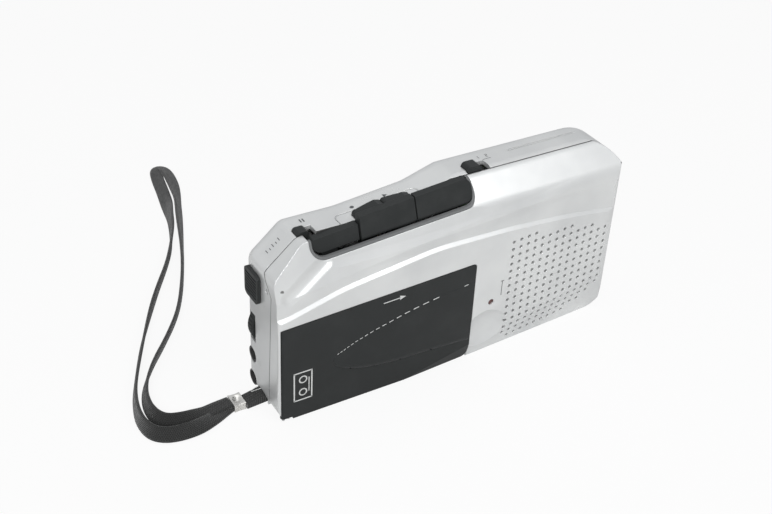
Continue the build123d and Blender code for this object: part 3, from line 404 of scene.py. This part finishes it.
def openMesh():  # edit mode with all of the piece selected
    bpy.ops.object.mode_set(mode="EDIT")
    bpy.ops.mesh.select_all(action="SELECT")


def closeMesh():
    bpy.ops.object.mode_set(mode="OBJECT")


def settle(thing, name, body, material):
    selectOnly(thing)
    bpy.ops.object.transform_apply(location=True, rotation=True, scale=True)
    thing.name = name
    thing.data.name = name
    thing.data.materials.clear()
    thing.data.materials.append(material)
    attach(thing, body)


def treeOf(*names):
    points, faces = [], []
    for name in names:
        mesh = nodes[name].data
        first = len(points)
        points += [v.co.copy() for v in mesh.vertices]
        faces += [[first + i for i in p.vertices] for p in mesh.polygons]
    return BVHTree.FromPolygons(points, faces)


# Strap: one woven tape, out along the floor and back, its two ends in the crimp, sizes in millimetres
strap = {"width": 4.7, "thickness": 0.9, "edge": 0.28, "dish": (0.94, 0.9), "sway": 0.05, "swayRate": 160,
         "clear": 0.04}
strapRoute = [
    (-68.7, 1.9, 0.85), (-71.6, 0.8, 0.9), (-76.4, -2.0, 1.6), (-82.4, -3.9, 2.3), (-89.4, -3.6, 2.5),
    (-94.0, -0.2, 2.5), (-95.0, 7.0, 2.5), (-92.8, 16.0, 2.5), (-88.9, 24.6, 2.5), (-80.0, 42.0, 2.5),
    (-69.4, 59.9, 2.5), (-57.4, 77.4, 2.5), (-49.6, 93.0, 2.4), (-45.4, 107.0, 1.7), (-42.4, 120.0, 1.1),
    (-40.4, 131.6, 1.1), (-38.4, 138.0, 1.3), (-35.6, 135.6, 1.5), (-36.4, 126.0, 1.7), (-40.0, 112.0, 2.0),
    (-45.2, 97.6, 2.4), (-49.2, 86.4, 2.5), (-53.4, 75.0, 2.5), (-59.6, 60.6, 2.5), (-66.4, 47.8, 2.5),
    (-75.2, 36.4, 2.5), (-83.4, 27.0, 2.5), (-89.4, 17.6, 2.5), (-91.2, 9.0, 2.5), (-89.4, 2.8, 2.5),
    (-84.0, 0.9, 2.4), (-78.0, 0.9, 2.0), (-72.6, 2.0, 1.75), (-68.7, 2.4, 1.75)]
# how far the tape leans over from flat (0) to on edge (90) and flat again (180), at shares of its length
strapLean = [(0.0, 0), (0.02, 6), (0.06, 62), (0.12, 76), (0.34, 84), (0.40, 70), (0.455, 18), (0.50, 10),
             (0.545, 22), (0.60, 62), (0.68, 84), (0.80, 100), (0.90, 110), (0.95, 120), (0.98, 172),
             (1.0, 180)]


def smoothLine(points):
    data = bpy.data.curves.new("strapLine", "CURVE")
    data.dimensions = "3D"
    data.resolution_u = 6
    spline = data.splines.new("NURBS")
    spline.points.add(len(points) - 1)
    for spot, point in zip(spline.points, points):
        spot.co = (point[0] * mm, point[1] * mm, point[2] * mm, 1)
    spline.order_u = 3
    spline.use_endpoint_u = True
    thing = bpy.data.objects.new("strapLine", data)
    scene.collection.objects.link(thing)
    bpy.context.view_layer.update()
    mesh = bpy.data.meshes.new_from_object(thing.evaluated_get(bpy.context.evaluated_depsgraph_get()))
    line = [v.co.copy() for v in mesh.vertices]
    bpy.data.objects.remove(thing)
    bpy.data.meshes.remove(mesh)
    return line


def leanAt(share):
    for (s0, a0), (s1, a1) in zip(strapLean, strapLean[1:]):
        if share <= s1:
            t = (share - s0) / (s1 - s0)
            t = t * t * (3 - 2 * t)
            return radians(a0 + (a1 - a0) * t)


def tapeSection(halfWide, halfThick):  # a flat tape with soft corners and slightly dished faces
    edge = strap["edge"] * mm
    dished, middle = (halfThick * share for share in strap["dish"])
    lower = [(-halfWide, -halfThick + edge), (-halfWide + edge, -halfThick), (-halfWide * 0.5, -dished),
             (0, -middle), (halfWide * 0.5, -dished), (halfWide - edge, -halfThick),
             (halfWide, -halfThick + edge)]
    return lower + [(-a, -b) for a, b in lower]


def addStrap():
    line = smoothLine(strapRoute)
    lengths = [0.0]
    for a, b in zip(line, line[1:]):
        lengths.append(lengths[-1] + (b - a).length)
    total = lengths[-1]
    section = tapeSection(strap["width"] / 2 * mm, strap["thickness"] / 2 * mm)
    points, faces, count = [], [], len(section)
    for i, point in enumerate(line):
        along = (line[min(i + 1, len(line) - 1)] - line[max(i - 1, 0)]).normalized()
        side = along.cross(Vector((0, 0, 1))).normalized()
        up = side.cross(along)
        lean = leanAt(lengths[i] / total) + strap["sway"] * sin(lengths[i] * strap["swayRate"])
        wide = side * cos(lean) + up * sin(lean)
        thick = up * cos(lean) - side * sin(lean)
        ring = [point + wide * a + thick * b for a, b in section]
        lift = Vector((0, 0, max(0.0, strap["clear"] * mm - min(p.z for p in ring))))
        points += [p + lift for p in ring]
    for i in range(len(line) - 1):
        for j in range(count):
            k = (j + 1) % count
            faces.append((i * count + j, i * count + k, (i + 1) * count + k, (i + 1) * count + j))
    faces.append(tuple(range(count - 1, -1, -1)))
    faces.append(tuple((len(line) - 1) * count + j for j in range(count)))
    mesh = bpy.data.meshes.new("wristStrap")
    mesh.from_pydata(points, [], faces)
    layer = mesh.uv_layers.new(name="weaveMap")
    for face in mesh.polygons:
        for loop in face.loop_indices:
            i, j = divmod(mesh.loops[loop].vertex_index, count)
            layer.data[loop].uv = (section[j][0] / (strap["width"] * mm) + 0.5, lengths[i] / mm)
    thing = bpy.data.objects.new("wristStrap", mesh)
    scene.collection.objects.link(thing)
    selectOnly(thing)
    openMesh()
    bpy.ops.mesh.normals_make_consistent(inside=False)
    closeMesh()
    bpy.ops.object.shade_smooth_by_angle(angle=radians(50))
    mesh.materials.append(wovenTape("tapeWeave"))
    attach(thing, "case")
    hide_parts("wrist_strap")
    return thing, line, total


wristStrap, strapLine, strapLength = addStrap()
print("strap laid, length in millimetres", round(strapLength / mm, 1))

# Crimp: a folded metal clip with a waist, a punched dimple, a fold line and rolled rims
crimp = {"start": -9.2, "length": 3.7, "width": 5.4, "height": 2.6, "middle": 13.0, "cuts": 7, "waist": 0.05,
         "squeeze": 0.16, "dimple": 0.75, "foldDeep": 0.16, "foldAt": -0.18, "foldTurn": 0.05,
         "foldHalf": 0.10, "topFrom": 1.1, "rim": 0.32}


def addCrimp():
    middle = place(crimp["start"] + crimp["length"] / 2, crimp["middle"], crimp["height"] / 2)
    selectOnly()
    bpy.ops.mesh.primitive_cube_add(size=1, location=middle)
    clip = bpy.context.object
    clip.scale = (crimp["length"] * mm, crimp["width"] * mm, crimp["height"] * mm)
    bpy.ops.object.transform_apply(location=True, rotation=True, scale=True)
    openMesh()
    bpy.ops.mesh.subdivide(number_cuts=crimp["cuts"])
    closeMesh()
    for v in clip.data.vertices:
        off = v.co - middle
        a, b = off.x / (crimp["length"] / 2 * mm), off.y / (crimp["width"] / 2 * mm)  # -1 to 1 across it
        v.co.y = middle.y + off.y * (1 - crimp["waist"] * (1 - a * a))
        if off.z > crimp["topFrom"] * mm:
            hollow = max(0.0, 1 - (a * a * 1.5 + b * b * 2.6))
            v.co.z -= (crimp["squeeze"] * (1 - a ** 4) + crimp["dimple"] * hollow ** 1.3) * mm
            if abs(b - crimp["foldAt"] + crimp["foldTurn"] * a) < crimp["foldHalf"]:
                v.co.z -= crimp["foldDeep"] * mm
    bevel = clip.modifiers.new("rims", "BEVEL")
    bevel.width = crimp["rim"] * mm
    bevel.segments = 3
    bevel.limit_method = "ANGLE"
    bevel.angle_limit = radians(50)
    selectOnly(clip)
    bpy.ops.object.modifier_apply(modifier="rims")
    bpy.ops.object.shade_smooth_by_angle(angle=radians(60))
    settle(clip, "strapCrimp", "case", metal("crimpPlating", (0.72, 0.71, 0.68), 0.22, 0.6, 0.9))
    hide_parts("strap_crimp")
    return clip


strapCrimp = addCrimp()
print("strap and crimp made")

# Sculpted teardrop on the lid, in place of its plain inset: it swells from the crease along its top
# towards its rolled lower edge, thins out at its nose and sinks on the way to the lid's free edge
drop = {"upper": [(18.6, 18.7), (24.6, 21.3), (30.3, 23.1), (37.0, 24.8), (41.8, 26.0), (47.6, 27.1),
                  (53.0, 27.9), (58.6, 28.6), (64.6, 29.3)],
        "lower": [(64.6, 7.9), (51.0, 8.9), (37.8, 9.4), (30.0, 10.4), (26.0, 11.3), (22.3, 12.4),
                  (19.4, 13.8), (17.6, 15.4), (17.1, 17.2)],
        "past": [(90.0, 7.0), (90.0, 31.0)], "rise": 1.15, "riseCurve": 0.85, "roll": 1.5, "nose": 16.5,
        "noseRun": 7.0, "noseCurve": 0.5, "far": 71.0, "farRun": 35.0, "farCurve": 0.7, "proud": 0.015,
        "skin": 0.7, "margin": 0.16, "gridAlong": (17.5, 64.5, 1.0), "gridUp": (8.5, 28.5, 0.5)}


def eased(line, rounds=3, cut=0.25):  # corners cut again and again, until the line is smooth
    for turn in range(rounds):
        rounder = [line[0]]
        for (x0, z0), (x1, z1) in zip(line, line[1:]):
            rounder += [(x0 * (1 - cut) + x1 * cut, z0 * (1 - cut) + z1 * cut),
                        (x0 * cut + x1 * (1 - cut), z0 * cut + z1 * (1 - cut))]
        line = rounder + [line[-1]]
    return line


drop["outline"] = eased(drop["lower"] + drop["upper"])
drop["swell"] = drop["past"][:1] + drop["outline"] + drop["past"][1:]  # runs on past the lid


def frontFace(along, height):  # depth of the case's front face, in millimetres
    fold = chin["start"] + (chin["end"] - chin["start"]) * along / caseLength
    return max(0.0, fold - height) * chin["slope"]


def clamped(value):
    return min(1.0, max(0.0, value))


def insideDrop(along, height):  # distance from the outline, positive inside
    best, inside = 1e9, False
    pts = drop["swell"]
    for (x0, z0), (x1, z1) in zip(pts, pts[1:] + pts[:1]):
        dx, dz = x1 - x0, z1 - z0
        t = clamped(((along - x0) * dx + (height - z0) * dz) / (dx * dx + dz * dz))
        best = min(best, sqrt((along - x0 - dx * t) ** 2 + (height - z0 - dz * t) ** 2))
        if (z0 > height) != (z1 > height) and along < x0 + (height - z0) * dx / dz:
            inside = not inside
    return best if inside else -best


def heightOn(line, along):  # height of an edge of the teardrop at a place along the lid
    if along <= line[0][0]:
        return line[0][1]
    for (x0, z0), (x1, z1) in zip(line, line[1:]):
        if along <= x1:
            return z0 + (z1 - z0) * (along - x0) / (x1 - x0)
    return line[-1][1]


def dropLift(along, height):  # how far the teardrop stands out from the lid
    top, foot = heightOn(drop["upper"], along), heightOn(drop["lower"][::-1], along)
    share = clamped((top - height) / max(1.0, top - foot))
    rim = clamped(insideDrop(along, height) / drop["roll"])
    rim = sqrt(max(0.0, 1 - (1 - rim) ** 2))
    nose = clamped((along - drop["nose"]) / drop["noseRun"]) ** drop["noseCurve"]
    far = clamped((drop["far"] - along) / drop["farRun"]) ** drop["farCurve"]
    return drop["rise"] * share ** drop["riseCurve"] * rim * nose * far


def cutGrid(start, end, step, spotAt, normal):  # cuts all across the piece, one step apart
    for k in range(round((end - start) / step) + 1):
        bpy.ops.mesh.select_all(action="SELECT")
        bpy.ops.mesh.bisect(plane_co=spotAt(start + k * step), plane_no=normal)


def addTeardrop():
    selectOnly()
    bpy.ops.mesh.primitive_circle_add(vertices=len(drop["outline"]), radius=0.01, fill_type="NGON")
    panel = bpy.context.object
    for v, (along, height) in zip(panel.data.vertices, drop["outline"]):
        v.co = place(along, 0, height)
    openMesh()
    cutGrid(*drop["gridAlong"], lambda at: place(at, 0, 0), (1, 0, 0))
    cutGrid(*drop["gridUp"], lambda at: place(0, 0, at), (0, 0, 1))
    bpy.ops.mesh.select_all(action="SELECT")
    bpy.ops.mesh.inset(thickness=drop["margin"] * mm)
    bpy.ops.mesh.select_all(action="SELECT")
    bpy.ops.mesh.quads_convert_to_tris()
    closeMesh()
    for v in panel.data.vertices:
        along, height = v.co.x / mm - caseLeft, v.co.z / mm
        v.co.y = (caseFront + frontFace(along, height) - dropLift(along, height) - drop["proud"]) * mm
    skin = panel.modifiers.new("skin", "SOLIDIFY")
    skin.thickness = drop["skin"] * mm
    skin.offset = -1
    openMesh()
    bpy.ops.mesh.remove_doubles(threshold=0.02 * mm)
    bpy.ops.mesh.normals_make_consistent(inside=False)
    closeMesh()
    if sum(p.normal.y * p.area for p in panel.data.polygons) > 0:
        openMesh()
        bpy.ops.mesh.flip_normals()
        closeMesh()
    bpy.ops.object.modifier_apply(modifier="skin")
    bpy.ops.object.shade_smooth_by_angle(angle=radians(40))
    settle(panel, "lidTeardrop", "lid", blackPlastic("teardropPlastic", (0.021, 0.023, 0.023),
                                                     (0.032, 0.034, 0.034), 0.36, 0.3))
    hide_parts("lid_window")


addTeardrop()
print("lid teardrop made")

# Printed marks, and dark marks that are painted shade: thin flat shapes, drawn in a plane and laid on the
# surface below them, in millimetres
skins = {"front": treeOf("front_shell", "cassette_lid"), "shells": treeOf("front_shell", "back_shell")}
ink = {"lift": 0.04, "ahead": 4.0, "reach": 18.0}
whiteInk = inkAndShade("whiteInk", (0.62, 0.63, 0.62))
greyInk = inkAndShade("greyInk", (0.09, 0.095, 0.10))
# painted shade: this dark ink stands for the shade in a groove and in a dimple
paintedShade = inkAndShade("paintedShade", (0.006, 0.006, 0.006), 0.7)
# for each face: the plane's place, and its ways across, up and inwards, seen from outside
facesOf = {"front": (place(0, 0, 0), (1, 0, 0), (0, 0, 1), (0, 1, 0)),
           "top": (place(0, 0, 64.0), (1, 0, 0), (0, 1, 0), (0, 0, -1)),
           "end": (place(-3.0, 0, 0), (0, -1, 0), (0, 0, 1), (1, 0, 0))}


def bar(x0, z0, x1, z1, width):  # a stroke between two points
    dx, dz = x1 - x0, z1 - z0
    length = sqrt(dx * dx + dz * dz)
    ox, oz = -dz / length * width / 2, dx / length * width / 2
    return [(x0 - ox, z0 - oz), (x1 - ox, z1 - oz), (x1 + ox, z1 + oz), (x0 + ox, z0 + oz)]


def disc(x, z, radius, count=14):
    turns = [2 * pi * k / count for k in range(count)]
    return [(x + radius * cos(turn), z + radius * sin(turn)) for turn in turns]


def closedLine(corners, width):
    return [bar(*here, *ahead, width) for here, ahead in zip(corners, corners[1:] + corners[:1])]


def ringMark(x, z, radius, width):
    return closedLine(disc(x, z, radius, 20), width)


def printMarks(name, shapes, face, body, material, skin):
    origin, across, up, inwards = (Vector(v) for v in facesOf[face])
    data = bpy.data.meshes.new(name)
    points, faces = [], []
    for shape in shapes:
        faces.append(list(range(len(points), len(points) + len(shape))))
        points += [origin + across * x * mm + up * z * mm for x, z in shape]
    data.from_pydata(points, [], faces)
    thing = bpy.data.objects.new(name, data)
    scene.collection.objects.link(thing)
    selectOnly(thing)
    for v in data.vertices:
        hit = skins[skin].ray_cast(v.co - inwards * ink["ahead"] * mm, inwards, ink["reach"] * mm)[0]
        if hit:
            v.co = hit - inwards * ink["lift"] * mm
    openMesh()
    bpy.ops.mesh.quads_convert_to_tris()
    closeMesh()
    if sum(p.normal.dot(inwards) * p.area for p in data.polygons) > 0:
        data.flip_normals()
    settle(thing, name, body, material)


# Dashes along the teardrop's crease, shorter and finer towards its nose
dashes = {"end": 53.5, "step": 0.55, "gap": 1.75, "growth": 1.09, "longest": 2.0, "above": 0.12,
          "width": 0.20, "widen": 0.004, "widenFrom": 18, "last": (61.2, 28.95, 62.6, 29.15, 0.25)}


def addDashes():
    upper, above = drop["upper"], dashes["above"]
    shapes, along, step = [], upper[0][0], dashes["step"]
    while along < dashes["end"]:
        ahead = min(along + step, dashes["end"] + 0.1)
        shapes.append(bar(along, heightOn(upper, along) + above, ahead, heightOn(upper, ahead) + above,
                          dashes["width"] + dashes["widen"] * (along - dashes["widenFrom"])))
        along += step * dashes["gap"]
        step = min(dashes["longest"], step * dashes["growth"])
    shapes.append(bar(*dashes["last"]))
    printMarks("creaseDashes", shapes, "front", "lid", whiteInk, "front")


# An arrow for the way the tape runs, a plain cassette sign, and a dark disc that is the painted shade of a
# dimple
arrow = {"middle": 36.5, "height": 32.0, "width": 0.32}
cassette = {"width": 5.6, "tall": 10.0, "line": 0.42, "along": 7.6, "height": 11.6, "reel": 1.15,
            "reelOff": 2.3, "tapeOff": 1.9, "tapeHalf": 2.6}
dimple = (22.3, 33.6, 0.55)


def addLidSigns():
    x, z = arrow["middle"], arrow["height"]
    shapes = [bar(x - 3.2, z, x + 2.4, z + 0.22, arrow["width"]),
              [(x + 2.2, z - 0.55), (x + 4.2, z + 0.3), (x + 2.2, z + 1.0)]]
    printMarks("tapeArrow", shapes, "front", "lid", whiteInk, "front")
    x, z, line = cassette["along"], cassette["height"], cassette["line"]
    left, right = x - cassette["width"] / 2, x + cassette["width"] / 2
    foot, top = z - cassette["tall"] / 2, z + cassette["tall"] / 2
    corners = [(left, foot), (right, foot), (right, top), (left, top)]
    shapes = closedLine(corners, line) + [disc(*corner, line / 2, 10) for corner in corners]
    for off in (-cassette["reelOff"], cassette["reelOff"]):
        shapes += ringMark(x, z + off, cassette["reel"], line)
    tape, half = x + cassette["tapeOff"], cassette["tapeHalf"]
    shapes += [bar(tape, z - half, tape, z + half, line * 0.7)]
    printMarks("cassetteSign", shapes, "front", "lid", whiteInk, "front")
    # painted shade: a dark disc where the lid has a dimple
    printMarks("lidDimpleShade", [disc(*dimple)], "front", "lid", paintedShade, "front")


# Plain signs on the top: pause bars, a dot, a triangle, and small numbers with a rule for the two speeds;
# also a dark bar that is the painted shadow in a groove
topMarks = {"bars": (14.6, 15.5), "barFoot": 15.0, "barTop": 16.6, "barWidth": 0.42,
            "dot": (30.6, 15.3, 0.62), "triangle": [(40.6, 14.5), (42.0, 15.2), (40.6, 15.9)],
            "numbers": (("1", 72.2), ("2", 75.4)), "numberFoot": 14.6, "numberTall": 1.3,
            "numberWidth": 0.14, "rule": (73.4, 13.6, 76.2, 13.6, 0.16),
            "groove": (83.1, 14.85, 108.4, 14.85, 0.34)}
bevelTicks = {"start": 3.4, "gap": 0.9, "count": 5, "foot": 13.2, "top": 14.6, "shorter": 0.5,
              "width": 0.18}


def digit(number, x, z, tall, width):  # half as wide as it is tall
    half = tall / 2
    strokes = {"a": (0, tall, half, tall), "b": (half, tall, half, half), "c": (half, half, half, 0),
               "d": (0, 0, half, 0), "e": (0, 0, 0, half), "g": (0, half, half, half)}
    used = [strokes[k] for k in {"1": "bc", "2": "abged"}[number]]
    return [bar(x + x0, z + z0, x + x1, z + z1, width) for x0, z0, x1, z1 in used]


def addTopSigns():
    signs = [bar(x, topMarks["barFoot"], x, topMarks["barTop"], topMarks["barWidth"])
             for x in topMarks["bars"]]
    signs += [disc(*topMarks["dot"]), topMarks["triangle"]]
    for number, x in topMarks["numbers"]:
        signs += digit(number, x, topMarks["numberFoot"], topMarks["numberTall"], topMarks["numberWidth"])
    signs += [bar(*topMarks["rule"])]
    printMarks("topSigns", signs, "top", "case", greyInk, "shells")
    # painted shadow: a dark bar laid along the groove on the top
    printMarks("grooveShadow", [bar(*topMarks["groove"])], "top", "case", paintedShade, "shells")
    ticks = []
    for k in range(bevelTicks["count"]):
        x = bevelTicks["start"] + bevelTicks["gap"] * k
        top = bevelTicks["top"] - bevelTicks["shorter"] * (k % 2)
        ticks.append(bar(x, bevelTicks["foot"], x, top, bevelTicks["width"]))
    printMarks("bevelTicks", ticks, "top", "case", greyInk, "shells")


# Ticks beside the knob, a scale beside the wheel, a ring sign by each socket, and a rule by the lamp
endMarks = {"knob": (45.2, 36.6), "knobFrom": -8.9, "knobTo": -8.2, "tick": 0.18, "scaleFrom": -12.9,
            "scaleTo": -12.0, "scaleMiddle": 24, "scaleGap": 1.9, "scaleShorter": 0.2, "ringAt": -12.7,
            "rings": (13.3, 4.8), "ring": 0.75, "ringLine": 0.16, "pin": 0.25, "stroke": 0.7}
lampRule = [(75.2, 21.0, 75.2, 26.4, 0.22), (74.6, 26.4, 75.8, 26.4, 0.22)]


def addEndSigns():
    signs = [bar(endMarks["knobFrom"], z, endMarks["knobTo"], z, endMarks["tick"])
             for z in endMarks["knob"]]
    for k in range(-3, 4):
        x = endMarks["scaleFrom"] + endMarks["scaleShorter"] * abs(k)
        z = endMarks["scaleMiddle"] + endMarks["scaleGap"] * k
        signs.append(bar(x, z, endMarks["scaleTo"], z, endMarks["tick"]))
    x, (upper, lower), line = endMarks["ringAt"], endMarks["rings"], endMarks["ringLine"]
    signs += ringMark(x, upper, endMarks["ring"], line) + [disc(x, upper, endMarks["pin"], 8)]
    signs += ringMark(x, lower, endMarks["ring"], line)
    signs += [bar(x, lower - endMarks["stroke"], x, lower + endMarks["stroke"], line)]
    printMarks("endSigns", signs, "end", "case", whiteInk, "shells")
    printMarks("lampRule", [bar(*stroke) for stroke in lampRule], "front", "case", greyInk, "shells")


addDashes()
addLidSigns()
addTopSigns()
addEndSigns()
print("marks made")

# Stage: a pale floor that the camera sees as white, with the object's shadow on it
floorSet = {"size": 3.0, "level": -0.05, "colour": (0.8, 0.8, 0.8), "roughness": 0.9, "shown": 0.90,
            "mirrored": 0.12}


def lightPath(tree):  # what the camera sees, straight or through glass, and what gloss mirrors
    path = tree.nodes.new("ShaderNodeLightPath")
    camera, glass, gloss = (Wire(tree, path.outputs[name])
                            for name in ("Is Camera Ray", "Is Transmission Ray", "Is Glossy Ray"))
    return camera.high(glass), gloss


def addStage():
    selectOnly()
    bpy.ops.mesh.primitive_plane_add(size=floorSet["size"], location=(0, 0, floorSet["level"] * mm))
    floor = bpy.context.object
    floor.name = "floor"
    f = Finish("floorPale")
    f.set(Base_Color=floorSet["colour"], Roughness=floorSet["roughness"])
    seen, gloss = lightPath(f.tree)
    bright = (seen * floorSet["shown"]).high(gloss * floorSet["mirrored"])
    glow = f.node("ShaderNodeEmission", None, {"Color": (1, 1, 1, 1), "Strength": 1.0})
    shown = f.node("ShaderNodeMixShader", None, {0: bright, 1: Wire(f.tree, f.shader.outputs[0]), 2: glow})
    f.tree.links.new(shown.socket, f.output.inputs["Surface"])
    floor.data.materials.append(f.material)


addStage()

# Light: a soft studio, brightest above and in front. Each lamp's place and size in metres, and its watts
lights = [("keyLight", (0.25, -0.55, 0.75), 0.55, 2.2), ("topLight", (-0.05, 0.15, 0.9), 0.8, 1.4),
          ("leftLight", (-0.42, -0.62, 0.55), 0.35, 4.3), ("sideLight", (-0.9, -0.1, 0.35), 0.6, 0.3)]
lightAim = (0, 0, 0.03)
# the room's brightness for the camera, in gloss, and as light
air = {"seen": 1.0, "mirrored": 0.75, "fill": 0.28, "colour": (0.92, 0.93, 0.95, 1)}


def addLights():
    for name, spot, size, power in lights:
        data = bpy.data.lights.new(name, "AREA")
        data.shape = "DISK"
        data.size = size
        data.energy = power
        lamp = bpy.data.objects.new(name, data)
        scene.collection.objects.link(lamp)
        lamp.location = spot
        lamp.rotation_euler = (Vector(lightAim) - Vector(spot)).to_track_quat("-Z", "Y").to_euler()
    world = bpy.data.worlds.new("studio")
    scene.world = world
    world.use_nodes = True
    tree = world.node_tree
    sky = tree.nodes["Background"]
    sky.inputs["Color"].default_value = air["colour"]
    seen, gloss = lightPath(tree)
    level = (seen * air["seen"]).high(gloss * air["mirrored"]).high(air["fill"])
    tree.links.new(level.socket, sky.inputs["Strength"])


addLights()
print("stage lit")
